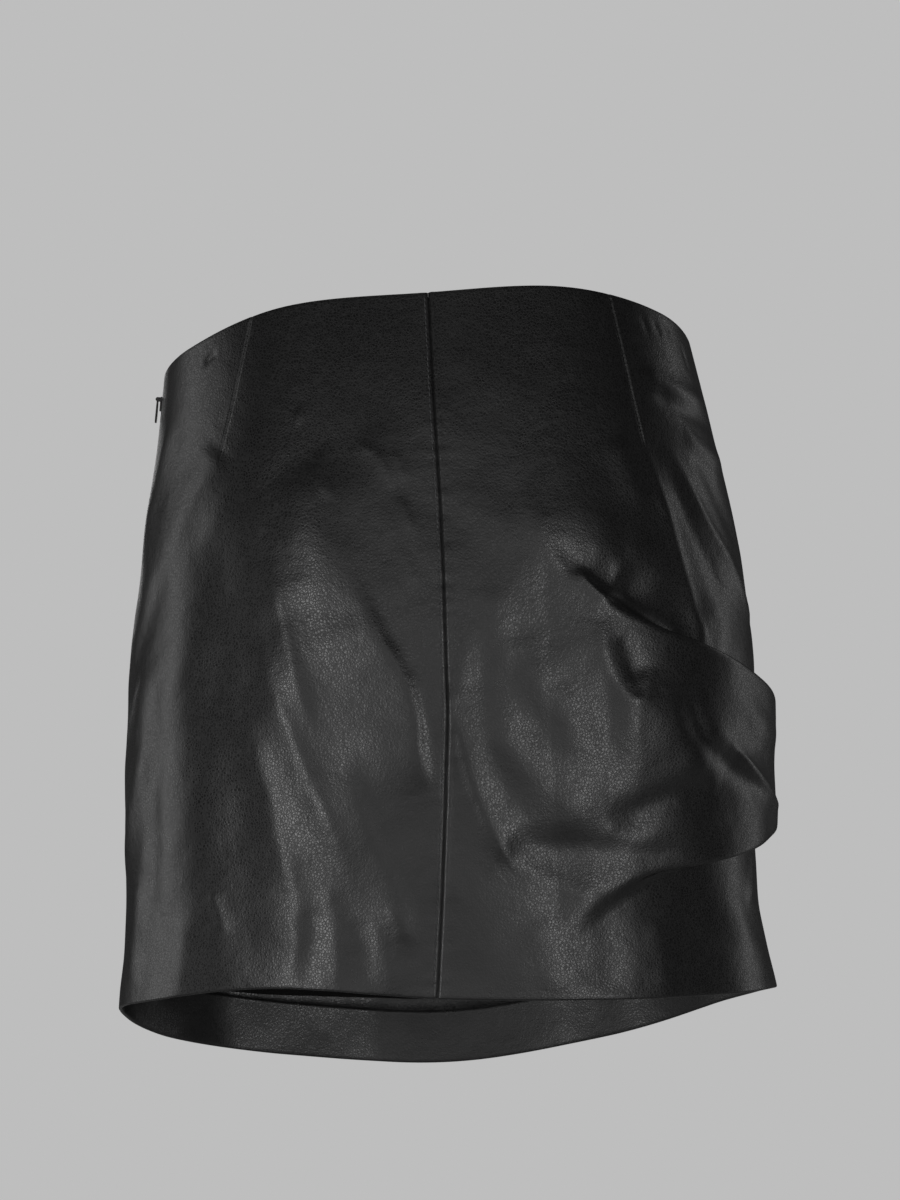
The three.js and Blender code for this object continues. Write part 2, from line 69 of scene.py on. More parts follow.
Material, Node, Socket, Tree = bpy.types.Material, bpy.types.Node, bpy.types.NodeSocket, bpy.types.NodeTree

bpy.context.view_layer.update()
MM = 0.001
LOG = logging.getLogger("skirt")


# Smooth values from short tables


def smooth(x: Array) -> Array:
    """Rises from 0 to 1 with level ends: t squared times (3 - 2t), with t held between 0 and 1."""
    t = np.clip(x, 0.0, 1.0)
    return t * t * (3.0 - 2.0 * t)


def between(values: Array, place: Array, ring: bool) -> Array:
    """Smooth value between the entries of a list.

    A cubic joins two neighbouring entries, and its slope at each is half the rise between the entries on
    either side of it.

    Args:
        values: the entries, one step apart.
        place: where to read, counted in steps.
        ring: True if the last entry is followed by the first one again.

    Returns:
        One value for each place.
    """
    count = len(values)
    if ring:
        low = np.floor(place).astype(int)
        p0, p1, p2, p3 = (values[(low + k) % count] for k in (-1, 0, 1, 2))
    else:
        place = np.clip(place, 0.0, count - 1.0)
        low = np.minimum(np.floor(place).astype(int), count - 2)
        longer = np.concatenate([[2 * values[0] - values[1]], values, [2 * values[-1] - values[-2]]])
        p0, p1, p2, p3 = (longer[low + k] for k in (0, 1, 2, 3))
    t = place - low
    bend = 3 * (p1 - p2) + p3 - p0
    return p1 + 0.5 * t * (p2 - p0 + t * (2 * p0 - 5 * p1 + 4 * p2 - p3 + t * bend))


def unit(vectors: Array) -> Array:
    """Vectors divided by their own lengths."""
    return vectors / np.maximum(np.linalg.norm(vectors, axis=-1, keepdims=True), 1e-12)


# The shape of the cloth


class Relief(Enum):
    """How the height of a fold falls away from its line."""

    SWELL = "round-backed"
    CREASE = "narrow-backed"


@dataclass(frozen=True)
class Fold:
    """One fold of the cloth: a curve through a few places, a height, and a width on each side of the curve.

    The left width lies to the left of a curve that runs down, and below one that runs to the right.
    """

    path: tuple[Pair, ...]
    lift: float
    left: float
    right: float
    relief: Relief = Relief.SWELL
    crest: float = 0.3
    fall: float = 1.4

    def line(self, pieces: int = 18) -> Array:
        """Places along the fold, on a smooth curve through its own places, as rows of degrees and height."""
        places = np.array(self.path, float)
        at = np.linspace(0, len(places) - 1, pieces + 1)
        return np.stack([between(places[:, k], at, False) for k in (0, 1)], axis=1)

    def height_at(self, distance: Array, side: Array) -> Array:
        """Share of the full lift at a distance from the line.

        A swell is a bell curve. A crease falls off evenly, with its crest rounded over a third of its width.

        Args:
            distance: distance from the nearest point of the line.
            side: -1 square to the line on its left, 1 on its right, and between the two past its ends.

        Returns:
            A share from 0 to 1 for each distance.
        """
        share = distance / ((self.left + self.right) / 2 + (self.right - self.left) / 2 * side)
        if self.relief is Relief.CREASE:
            return np.exp(-self.fall * (np.sqrt(share**2 + self.crest**2) - self.crest))
        return np.exp(-(share**2))


CREASE = Relief.CREASE

LEFT_FOLDS = (
    Fold(((-45, -46), (-48, -57), (-54, -74), (-62.5, -108)), 1.3, 14, 9),
    Fold(((-42, -84), (-42, -124), (-39, -184), (-37, -262), (-37, -325)), -1.5, 17, 15),
    Fold(((-54, -100), (-52, -184), (-51, -300)), 0.9, 15, 14),
    Fold(((-60, -170), (-61, -225), (-62, -300)), -1.2, 9, 9),
    Fold(((-24, -55), (-22.5, -98), (-21, -140)), 1.6, 20, 22),
    Fold(((-30.5, -108), (-27.5, -146), (-25, -173), (-22, -206)), 1.5, 12, 6, CREASE),
    Fold(((-33, -150), (-27.5, -194), (-23.5, -226), (-20, -251), (-15, -292)), 2.0, 15, 9, CREASE),
    Fold(
        ((-37, -180), (-31, -232), (-28.5, -268), (-26, -294), (-26, -317), (-28, -345)), 1.8, 18, 10, CREASE
    ),
    Fold(((-15, -112), (-10, -150), (-6, -172), (-4, -194), (-3.5, -216), (-2, -238)), 2.8, 18, 4.5, CREASE),
    Fold(((-17, -218), (-13, -261), (-8.5, -294), (-5.5, -328)), 1.8, 15, 7),
    Fold(((-60, -112), (-72, -160), (-86, -205)), -1.8, 10, 12),
    Fold(((-62, -205), (-74, -245), (-86, -285)), 1.8, 9, 9),
    Fold(((-66, -25), (-74, -62), (-84, -110)), 1.2, 12, 12),
    Fold(((-68, -280), (-72, -310), (-70, -345)), 1.2, 9, 9),
    Fold(((-20.5, -48), (-21, -62), (-19, -76)), 0.7, 4, 3, CREASE),
    Fold(((-14, -46), (-10, -53), (-6.5, -70)), 0.6, 5, 3, CREASE),
    Fold(((-7, -50), (-4.5, -68)), 0.4, 3, 3),
    Fold(((-6, -76), (-3.5, -96)), 0.5, 3, 3),
    Fold(((-6, -104), (-3, -126)), 0.4, 3, 3),
    Fold(((-53, 2), (-51.5, 6), (-49, 8.5)), -0.8, 2.2, 2),
    Fold(((-26.8, -30), (-25.6, -31)), 0.8, 4, 4),
)

LEFT_HEM_FOLDS = (
    Fold(((-20.5, -286), (-19, -304), (-15, -326)), 0.8, 8, 5, CREASE),
    Fold(((-20, -306), (-18.6, -324), (-18.8, -345)), 0.45, 5, 4.5, CREASE),
    Fold(((-12.8, -302), (-10.8, -324), (-9, -347)), 0.5, 8, 6, CREASE),
    Fold(((-9.5, -298), (-8, -308), (-7, -320)), 0.6, 5, 4),
    Fold(((-44, -288), (-42, -300), (-40, -314)), 0.9, 6, 4, CREASE),
    Fold(((-24, -298), (-23, -316), (-24, -345)), -0.8, 6, 6),
    Fold(((-16, -306), (-14.5, -322), (-14, -346)), -0.7, 8, 8),
    Fold(((-52, -305), (-51, -325), (-53, -348)), 1.0, 9, 8),
)

SEAM_FOLDS = (
    Fold(
        ((5.5, -146), (3.2, -180), (2.4, -193), (3.7, -208), (5.7, -235), (10, -268), (13.5, -284)),
        2.1, 6, 12, CREASE,
    ),
    Fold(((9, -150), (8, -180), (8.5, -206), (11, -232), (15, -258)), -0.8, 7, 8),
    Fold(((7, -178), (10, -204), (15, -222), (22, -246), (29, -262)), 1.9, 14, 18),
    Fold(((16.5, -152), (18, -182), (23, -204), (28, -226)), 1.4, 12, 11),
    Fold(((9.5, -124), (11, -150), (12, -178)), 0.8, 9, 9),
    Fold(((13, -158), (14.5, -186), (19, -214)), -0.6, 10, 10),
    Fold(((16, -98), (25, -94), (36, -102)), 1.8, 24, 18),
    Fold(((30, -146), (29.7, -162), (31, -178), (34, -190), (37, -190), (38.5, -174)), 1.4, 7, 7, CREASE),
    Fold(((33.6, -154), (34.2, -168), (36.5, -182)), -1.1, 5, 9),
)

DRAPE_FOLDS = (
    Fold(((30, -205), (42, -206), (58, -230)), 3.6, 30, 26),
    Fold(((24, -115), (30, -111), (36, -115)), 0.7, 5, 10),
    Fold(((33, -119), (35, -123)), 0.5, 5, 5),
    Fold(((33, -126), (38, -136), (44.5, -146), (53, -160)), -3.6, 6, 15),
    Fold(((26, -118), (28.5, -129), (32, -139)), 2.0, 5, 4, CREASE),
    Fold(((30, -260), (37, -252), (44, -245), (53, -241)), -2.4, 12, 8),
    Fold(((57, -218), (68, -237), (80, -252), (87, -262)), 2.6, 7, 4, CREASE),
    Fold(((45, -186), (50, -216), (60, -234), (74, -253)), -2.2, 7, 6),
    Fold(((11, -264), (17, -271), (26, -274), (36, -278), (50, -279)), -2.6, 20, 10),
    Fold(((12, -276), (17, -286), (23, -294), (29, -301)), 1.1, 9, 12, CREASE),
    Fold(((62, -198), (74, -212), (86, -220)), 1.4, 10, 8),
    Fold(((60, -210), (72, -226), (86, -238)), -1.3, 8, 8),
)

RIGHT_FOLDS = (
    Fold(((15, -308), (18.5, -330), (18.5, -352)), 1.1, 12, 11),
    Fold(((38.5, -310), (39.5, -332), (39, -354)), 0.8, 8, 8),
    Fold(((29, -306), (29, -332), (28.5, -354)), -0.9, 11, 11),
    Fold(((50, -306), (52, -330), (52, -354)), -0.6, 11, 11),
    Fold(((80, -284), (76, -296), (68.5, -310)), 1.3, 5, 6, CREASE),
    Fold(((43.5, -49), (47, -88), (49, -113), (53, -150), (55.5, -168)), 1.7, 8, 5, CREASE),
    Fold(((52, -55), (60, -92), (69.5, -118), (79, -142), (85, -156)), 1.8, 8, 5, CREASE),
    Fold(((48, -56), (54, -94), (61, -128), (66, -146)), -0.8, 6, 6),
    Fold(((60, -50), (70, -88), (84, -118)), -1.3, 8, 8),
    Fold(((37, -46), (39, -64), (40, -84)), 1.1, 12, 6),
    Fold(((47, -10), (57, -20), (80, -30)), 1.4, 6, 6),
    Fold(((49, -21), (60, -31), (78, -42)), -1.4, 6, 6),
    Fold(((57, -44), (66, -55), (82, -62)), 1.4, 6, 6),
    Fold(((51.2, 22), (51.6, 17), (52.4, 11)), -0.4, 1.8, 1.8),
    Fold(((55.6, 19), (56, 14), (57, 9)), -0.4, 1.8, 1.8),
    Fold(((60.8, 17), (61.3, 13), (62, 7)), -0.45, 1.8, 1.8),
    Fold(((68, 5), (68.2, -1), (69, -8)), -0.5, 1.8, 1.8),
)

FRONT_FOLDS = (
    Fold(((112, -222), (140, -202), (165, -176), (190, -150)), 3.0, 12, 16, CREASE),
    Fold(((112, -236), (140, -240), (172, -246), (205, -262)), 3.2, 13, 15, CREASE),
    Fold(((114, -250), (140, -278), (158, -310), (172, -356)), 2.8, 12, 15, CREASE),
    Fold(((120, -214), (150, -214), (186, -204)), -2.6, 11, 11),
    Fold(((128, -262), (145, -300), (152, -352), (150, -412)), -2.6, 14, 14),
    Fold(((108, -56), (118, -106), (126, -158)), 2.0, 11, 13),
    Fold(((218, -190), (222, -270), (225, -350), (224, -425)), 2.6, 16, 18),
    Fold(((242, -140), (245, -230), (247, -320), (246, -385)), -2.2, 16, 16),
    Fold(((188, -280), (192, -340), (195, -425)), 2.2, 13, 15),
    Fold(((206, -60), (205, -120), (208, -190)), 1.2, 20, 20),
    Fold(((160, -60), (158, -100), (162, -150)), 1.0, 18, 18),
)

FOLDS = LEFT_FOLDS + LEFT_HEM_FOLDS + SEAM_FOLDS + DRAPE_FOLDS + RIGHT_FOLDS + FRONT_FOLDS


# Waves of the slack cloth: turns across and down in radians per millimetre, shift, and size in millimetres.
SLACK_WAVES = (
    (0.047, 0.021, 0.3, 0.42),
    (0.085, -0.034, 1.9, 0.26),
    (-0.066, 0.071, 4.1, 0.20),
    (0.135, 0.052, 2.6, 0.13),
    (0.088, 0.151, 5.2, 0.085),
    (0.231, -0.117, 0.9, 0.05),
    (-0.172, 0.262, 3.3, 0.035),
)

# Bends of the waves' grid, two across and one down: size, turns in radians per millimetre, and shift.
SLACK_BENDS = ((11, 0.023, 1.1), (5, 0.061, 0.0), (9, 0.031, 0.4))


@dataclass(frozen=True)
class Dart:
    """A sewn tuck from the waist edge down, as degrees at its top and at its foot."""

    top: float
    foot: float
    foot_height: float


LEFT_DART = Dart(-39.0, -45.0, -48.0)
RIGHT_DART = Dart(42.0, 44.0, -51.0)


@dataclass(frozen=True)
class SkirtForm:
    """The worn shape of the skirt's outer face, as a function of degrees round and height.

    The half sizes left, right, back and front, and the centre back seam's degrees, stand at even shares of
    the way down. The waist edge and the hem are heights every 30 degrees, from the centre front on by the
    wearer's left. The drape's tables go by 15 degrees from lip_start: the heights of its two lips and half
    their height, how far it stands off, and how far its lips carry the cloth up and down.
    """

    left: Row = (150, 156, 164, 171.5, 177, 180.5, 181.5, 182.5, 188)
    right: Row = (151, 161, 170.5, 177, 180, 178.5, 177.5, 179.5, 187)
    back: Row = (98, 108, 116, 122, 125, 125, 123.5, 122, 122)
    front: Row = (96, 101, 106, 109, 111, 112, 113, 115, 118)
    waist_edge: Row = (-22, -20, -12, -3, 12.5, 31.5, 35.5, 37, 22.5, 3, -8, -18)
    hem_edge: Row = (-408, -399, -382, -361, -350, -342, -350, -354.5, -357, -360, -371, -394)
    back_seam: Row = (0.9, 1.2, 1.7, 1.6, 1.1, -0.3, -1.9)
    lip_start: float = 20.0
    lip_step: float = 15.0
    lip_top: Row = (-108, -142, -164, -181, -196, -206, -211, -212, -209, -196, -176, -154, -137, -130)
    lip_bottom: Row = (-318, -292, -282, -275, -268, -262, -256, -251, -250, -254, -258, -260, -262, -262)
    lip_half: Row = (14, 12, 10, 8.5, 8, 8, 8.5, 9, 10, 13, 17, 22, 25, 26)
    stand_off: Row = (0, 5, 9, 11.5, 12.5, 12.5, 10, 6, 0, 0, 0, 0, 0, 0)
    overlap: Row = (0, 1.5, 6, 7.5, 8, 8, 6, 3, 0, 0, 0, 0, 0, 0)
    fullness: float = 0.02
    right_seam: float = 94.0
    left_seam: float = -90.0
    seam_dip: float = 1.0
    seam_roll: float = 2.4
    seam_proud: Triple = (0.3, 2.2, 1.7)
    stitch_press: Pair = (0.14, 0.8)
    stitch_off: float = 2.1
    dart_dip: float = 0.5
    dart_roll: float = 0.75
    dart_lap: Triple = (0.2, 6.0, 0.5)
    dart_end: Pair = (7, 10)
    table_step: float = 30.0
    degree_mean: float = 2.6
    degree_least: float = 2.05
    fold_reach: float = 3.2
    fold_ends: Pair = (0.2, 3.2)
    slack_share: Pair = (0.12, 0.88)
    slack_grows: float = 120.0
    pucker: Pair = (0.07, 8.0)
    lip_span: Pair = (0.75, 1.35)
    lip_sway: float = 1.25

    def waist(self, around: Array) -> Array:
        """Height of the waist edge."""
        return between(np.array(self.waist_edge, float), (np.asarray(around) + 180) / self.table_step, True)

    def hem(self, around: Array) -> Array:
        """Height of the hem."""
        return between(np.array(self.hem_edge, float), (np.asarray(around) + 180) / self.table_step, True)

    def lip(self, values: Row, around: Array) -> Array:
        """A value of the drape's tables at some degrees round."""
        return between(np.array(values, float), (np.asarray(around) - self.lip_start) / self.lip_step, False)

    def seam_at(self, height: Array) -> Array:
        """Degrees round of the centre back seam at a height."""
        waist, hem = self.waist(np.zeros(1))[0], self.hem(np.zeros(1))[0]
        share = (waist - np.asarray(height)) / (waist - hem)
        return between(np.array(self.back_seam, float), share * (len(self.back_seam) - 1), False)

    def dart_at(self, dart: Dart, height: Array) -> Array:
        """Degrees round of a dart's line, which runs straight on below its foot."""
        waist = self.waist(np.array([dart.top]))[0]
        share = np.clip((waist - np.asarray(height)) / (waist - dart.foot_height), 0, 1)
        return dart.top + (dart.foot - dart.top) * share

    def per_degree(self, around: Array) -> Array:
        """Rough length of one degree round: longest across the back and shortest at the sides."""
        return 2.55 + 0.5 * np.cos(np.radians(2 * np.asarray(around)))

    def ring(self, around: Array, height: Array) -> Array:
        """Point of the ring without folds.

        The half sizes at that share of the way down scale the sine and cosine of the angle, and the ring
        is a little fuller than an ellipse between its axes.

        Args:
            around: degrees round.
            height: height of the point.

        Returns:
            One point for each place, in millimetres.
        """
        waist = self.waist(around)
        down = (waist - height) / (waist - self.hem(around)) * (len(self.left) - 1)
        angle = np.radians(around)
        sin, cos = np.sin(angle), np.cos(angle)
        tables = (self.left, self.right, self.back, self.front)
        left, right, back, front = (between(np.array(sizes, float), down, False) for sizes in tables)
        side = np.where(sin < 0, left, right)
        deep = np.where(cos > 0, back, front)
        full = 1 + self.fullness * (1 - np.cos(4 * angle)) / 2
        return np.stack([side * sin * full, -deep * cos * full, height + 0 * angle], axis=-1)

    def degrees(self, length: Array | float, around: Array, height: Array) -> Array:
        """Angle that a length takes up on the ring."""
        span = self.ring(around + 0.5, height) - self.ring(around - 0.5, height)
        return length / np.linalg.norm(span, axis=-1)

    def folds(self, around: Array, height: Array) -> Array:
        """Sum of all folds, each worked out only where it reaches.

        Args:
            around: degrees round.
            height: height before the drape moves it.

        Returns:
            How far the folds lift each point, in millimetres.
        """
        flat_around, flat_height = np.ravel(around), np.ravel(height)
        total = np.zeros(flat_around.shape)
        for fold in FOLDS:
            line = fold.line()
            reach = self.fold_reach * max(fold.left, fold.right)
            spread = reach / self.degree_least
            near = (flat_around > line[:, 0].min() - spread) & (flat_around < line[:, 0].max() + spread)
            near &= (flat_height > line[:, 1].min() - reach) & (flat_height < line[:, 1].max() + reach)
            if near.any():
                total[near] += self.one_fold(fold, line, flat_around[near], flat_height[near])
        return total.reshape(np.shape(around))

    def one_fold(self, fold: Fold, line: Array, around: Array, height: Array) -> Array:
        """Lift of one fold, by the distance from the nearest point of its line, fading at both ends.

        Args:
            fold: the fold.
            line: places along it, as rows of degrees and height.
            around: degrees round, as a list.
            height: heights, as a list.

        Returns:
            One lift for each place, in millimetres.
        """
        scale = self.per_degree(around)
        run = np.diff(line, axis=0)
        run_x, run_z = run[:, :1] * scale, np.broadcast_to(run[:, 1:], (len(run), len(around)))
        off_x = (around - line[:-1, :1]) * scale
        off_z = height - line[:-1, 1:]
        t = np.clip((off_x * run_x + off_z * run_z) / (run_x**2 + run_z**2), 0, 1)
        distance = np.hypot(off_x - t * run_x, off_z - t * run_z)
        piece = distance.argmin(axis=0)
        pick = (piece, np.arange(len(around)))
        near, run_x, run_z = distance[pick], run_x[pick], run_z[pick]
        square = (run_x * off_z[pick] - run_z * off_x[pick]) / np.hypot(run_x, run_z)
        along = (piece + t[pick]) / len(run)
        start, rate = self.fold_ends
        ends = smooth(start + along * rate) * smooth(start + (1 - along) * rate)
        return fold.lift * ends * fold.height_at(near, np.clip(square / np.maximum(near, 1e-6), -1, 1))

    def slack(self, around: Array, height: Array) -> Array:
        """Low uneven waves of soft leather, almost level at the waist and fuller below.

        Each wave is a sine of a sum of the places across and down, which are themselves bent by sines.

        Args:
            around: degrees round.
            height: height before the drape moves it.

        Returns:
            How far the waves lift each point, in millimetres.
        """
        across = np.asarray(around) * self.degree_mean
        broad, fine, upright = SLACK_BENDS
        x = across + self.bend(height, *broad) + self.bend(height, *fine)
        z = height + self.bend(across, *upright)
        total = sum(size * np.sin(a * x + b * z + shift) for a, b, shift, size in SLACK_WAVES)
        least, more = self.slack_share
        return total * (least + more * smooth((self.waist(around) - height) / self.slack_grows))

    @staticmethod
    def bend(place: Array, size: float, turns: float, shift: float) -> Array:
        """One bend of the waves' grid: a sine of the place."""
        return size * np.sin(place * turns + shift)

    def seam_draw(self, around: Array, height: Array) -> Array:
        """Small puckers beside the centre back seam: two sines along it, under a bell curve across it."""
        off = np.abs(around - self.seam_at(height)) * self.per_degree(around)
        ripple = np.sin(height * 0.46 + 1.3 * np.sin(height * 0.11)) + 0.6 * np.sin(height * 0.83 + 1.0)
        size, width = self.pucker
        return size * ripple * np.exp(-((off / width) ** 2)) * smooth((30 - height) / 90)

    def drape(self, around: Array, height: Array) -> tuple[Array, Array]:
        """The draped fold: how far out, and how far up or down its two lips carry the cloth.

        Between the lips the cloth stands off. Across a lip it runs down, back up and down again: a sine
        over the lip's height, times 1 - w squared, where w runs from -1 above to 1 below.

        Args:
            around: degrees round.
            height: height on the ring.

        Returns:
            How far out and how far up each point goes, in millimetres.
        """
        half = self.lip(self.lip_half, around)
        out, up = np.zeros(np.shape(around)), np.zeros(np.shape(around))
        for table, sense in ((self.lip_top, 1.0), (self.lip_bottom, -1.0)):
            w = (self.lip(table, around) - height) / half
            out = out + smooth((sense * w + self.lip_span[0]) / self.lip_span[1])
            up = up + np.where(np.abs(w) < 1, self.lip_sway * np.sin(np.pi * w) * (1 - w**2), 0)
        stand = np.maximum(self.lip(self.stand_off, around), 0)
        return stand * (out - 1), np.maximum(self.lip(self.overlap, around), 0) * up

    def seam_groove(self, around: Array, height: Array) -> Array:
        """Depth by which both edges of a seam roll in, as the square of the share of the roll's width.

        At the centre back the right edge stands a little proud, and the stitching presses a line into the
        left one: two bell curves across the seam.

        Args:
            around: degrees round.
            height: height before the drape moves it.

        Returns:
            One depth for each point, in millimetres.
        """
        seams = (self.seam_at(height), self.right_seam, self.left_seam, self.left_seam + 360)
        nearest = np.min([np.abs(around - seam) for seam in seams], axis=0)
        scale = self.per_degree(around)
        share = np.clip(1 - nearest * scale / self.seam_roll, 0, 1)
        middle = (around - seams[0]) * scale
        size, place, width = self.seam_proud
        proud = size * np.exp(-(((middle - place) / width) ** 2))
        size, width = self.stitch_press
        pressed = size * np.exp(-(((middle + self.stitch_off) / width) ** 2))
        return self.seam_dip * share**2 - proud + pressed

    def dart_groove(self, around: Array, height: Array) -> Array:
        """Depth of the darts' sewn lines: a bell curve across each, with one side a little higher.

        Args:
            around: degrees round.
            height: height before the drape moves it.

        Returns:
            One depth for each point, in millimetres.
        """
        total = np.zeros(np.shape(around))
        past, fade = self.dart_end
        size, width, step = self.dart_lap
        for dart in (LEFT_DART, RIGHT_DART):
            off = (around - self.dart_at(dart, height)) * self.per_degree(around)
            end = smooth((height - dart.foot_height + past) / fade)
            toward_side = off * np.sign(dart.top)
            lap = size * np.exp(-np.abs(toward_side) / width) * np.tanh(toward_side / step)
            total = total + end * (self.dart_dip * np.exp(-((off / self.dart_roll) ** 2)) - lap)
        return total

    def point(self, around: Array, height: Array, seam_share: float = 1.0, dart_share: float = 1.0) -> Array:
        """Point of the outer face, in millimetres.

        Args:
            around: degrees round.
            height: height on the ring before the drape moves it.
            seam_share: how much of a seam's groove is taken off.
            dart_share: how much of a dart's groove is taken off.

        Returns:
            The ring's point, moved out along its level normal by folds, slack and drape, and up by the drape.
        """
        around, height = np.broadcast_arrays(np.asarray(around, float), np.asarray(height, float))
        base = self.ring(around, height)
        wide = self.ring(around + 0.5, height) - self.ring(around - 0.5, height)
        outward = unit(np.stack([wide[..., 1], -wide[..., 0], 0 * wide[..., 0]], axis=-1))
        out, up = self.drape(around, height)
        lift = self.folds(around, height) + self.slack(around, height) + self.seam_draw(around, height) + out
        lift = lift - seam_share * self.seam_groove(around, height)
        lift = lift - dart_share * self.dart_groove(around, height)
        moved = base + outward * lift[..., None]
        moved[..., 2] += up
        return moved

    def inside(self, around: Array, height: Array, depth: Array | float) -> Array:
        """Point a depth inwards from the outer face, along its normal, with the grooves left out.

        Args:
            around: degrees round.
            height: height before the drape moves it.
            depth: how far in, in millimetres.

        Returns:
            One point for each place, in millimetres.
        """
        around, height = np.broadcast_arrays(np.asarray(around, float), np.asarray(height, float))
        wide = self.point(around + 0.4, height, 0, 0) - self.point(around - 0.4, height, 0, 0)
        tall = self.point(around, height + 0.7, 0, 0) - self.point(around, height - 0.7, 0, 0)
        return self.point(around, height, 0, 0) - np.asarray(depth)[..., None] * unit(np.cross(wide, tall))


# Meshes


@dataclass
class Surface:
    """Points and faces of one piece, in millimetres, with a finish number for each face."""

    points: Array
    faces: Faces
    finish: Faces

    def joined(self, other: "Surface") -> "Surface":
        """This surface and another as one piece."""
        shift = len(self.points)
        faces = self.faces + [block + shift for block in other.faces]
        return Surface(np.concatenate([self.points, other.points]), faces, self.finish + other.finish)

    def outward(self) -> "Surface":
        """The same closed surface with its faces turned outwards, told by the sign of its volume."""
        volume = 0.0
        for block in self.faces:
            corner = self.points[block]
            for k in range(1, block.shape[1] - 1):
                volume += np.einsum("ij,ij->", corner[:, 0], np.cross(corner[:, k], corner[:, k + 1]))
        faces = [block[:, ::-1] for block in self.faces] if volume < 0 else self.faces
        return Surface(self.points, faces, self.finish)


def add_piece(name: str, surface: Surface, finishes: list[Material], sharp: float = 42.0) -> bpy.types.Object:
    """Puts a surface into the scene as a mesh object at the origin, in metres.

    Args:
        name: the object's name.
        surface: its points and faces.
        finishes: its materials, in the order of the finish numbers.
        sharp: angle in degrees from which an edge is shaded sharp.

    Returns:
        The new object.
    """
    mesh = bpy.data.meshes.new(name)
    corners = np.concatenate([block.ravel() for block in surface.faces])
    sizes = np.concatenate([np.full(len(block), block.shape[1]) for block in surface.faces])
    starts = np.concatenate([[0], np.cumsum(sizes)[:-1]])
    mesh.vertices.add(len(surface.points))
    mesh.vertices.foreach_set("co", (surface.points * MM).astype(np.float32).ravel())
    mesh.loops.add(len(corners))
    mesh.loops.foreach_set("vertex_index", corners.astype(np.int32))
    mesh.polygons.add(len(sizes))
    mesh.polygons.foreach_set("loop_start", starts.astype(np.int32))
    mesh.polygons.foreach_set("material_index", np.concatenate(surface.finish).astype(np.int32))
    mesh.polygons.foreach_set("use_smooth", np.ones(len(sizes), dtype=bool))
    mesh.update(calc_edges=True)
    mesh.validate()
    mesh.set_sharp_from_angle(angle=math.radians(sharp))
    for finish in finishes:
        mesh.materials.append(finish)
    piece = bpy.data.objects.new(name, mesh)
    bpy.context.scene.collection.objects.link(piece)
    return piece


def grid_faces(
    rows: int, columns: int, close_rows: bool = False, close_columns: bool = False
) -> NDArray[np.int64]:
    """Four-cornered faces between the points of a grid.

    Args:
        rows: number of points along the first parameter.
        columns: number of points along the second, which runs fastest.
        close_rows: True if the last row joins the first.
        close_columns: True if the last column joins the first.

    Returns:
        One line of four point numbers for each face.
    """
    last_row, last_column = (rows if close_rows else rows - 1), (columns if close_columns else columns - 1)
    i, j = (index.ravel() for index in np.indices((last_row, last_column)))
    here, beyond = i * columns, (i + 1) % rows * columns
    j_next = (j + 1) % columns
    return np.stack([here + j, here + j_next, beyond + j_next, beyond + j], axis=1)


def one_finish(points: Array, faces: Faces) -> Surface:
    """A surface whose faces all have the first finish."""
    return Surface(points, faces, [np.zeros(len(block), dtype=np.int64) for block in faces])


def capped(rings: Array) -> Surface:
    """A closed surface through rings of points, with a fan to the middle of the first and the last ring.

    Args:
        rings: points by ring, by place round the ring, and by axis.

    Returns:
        The surface, with its faces outwards.
    """
    rows, round_count = rings.shape[:2]
    points = np.concatenate([rings.reshape(-1, 3), rings[0].mean(axis=0)[None], rings[-1].mean(axis=0)[None]])
    first, last = rows * round_count, rows * round_count + 1
    turn = np.arange(round_count)
    after = (turn + 1) % round_count
    end = (rows - 1) * round_count
    fans = [
        np.stack([np.full(round_count, first), after, turn], axis=1),
        np.stack([np.full(round_count, last), turn + end, after + end], axis=1),
    ]
    return one_finish(points, [grid_faces(rows, round_count, close_columns=True), *fans]).outward()


def repeated(shape: Surface, places: Array, axes: Array) -> Surface:
    """Copies of a small surface, set at places along their own axes.

    Args:
        shape: the surface, round the origin.
        places: one point for each copy.
        axes: three axes for each copy, as rows.

    Returns:
        All copies as one surface.
    """
    points = places[:, None] + np.einsum("pk,nkc->npc", shape.points, axes)
    shift = (np.arange(len(places)) * len(shape.points))[:, None, None]
    faces = [(block[None] + shift).reshape(-1, block.shape[1]) for block in shape.faces]
    return one_finish(points.reshape(-1, 3), faces).outward()


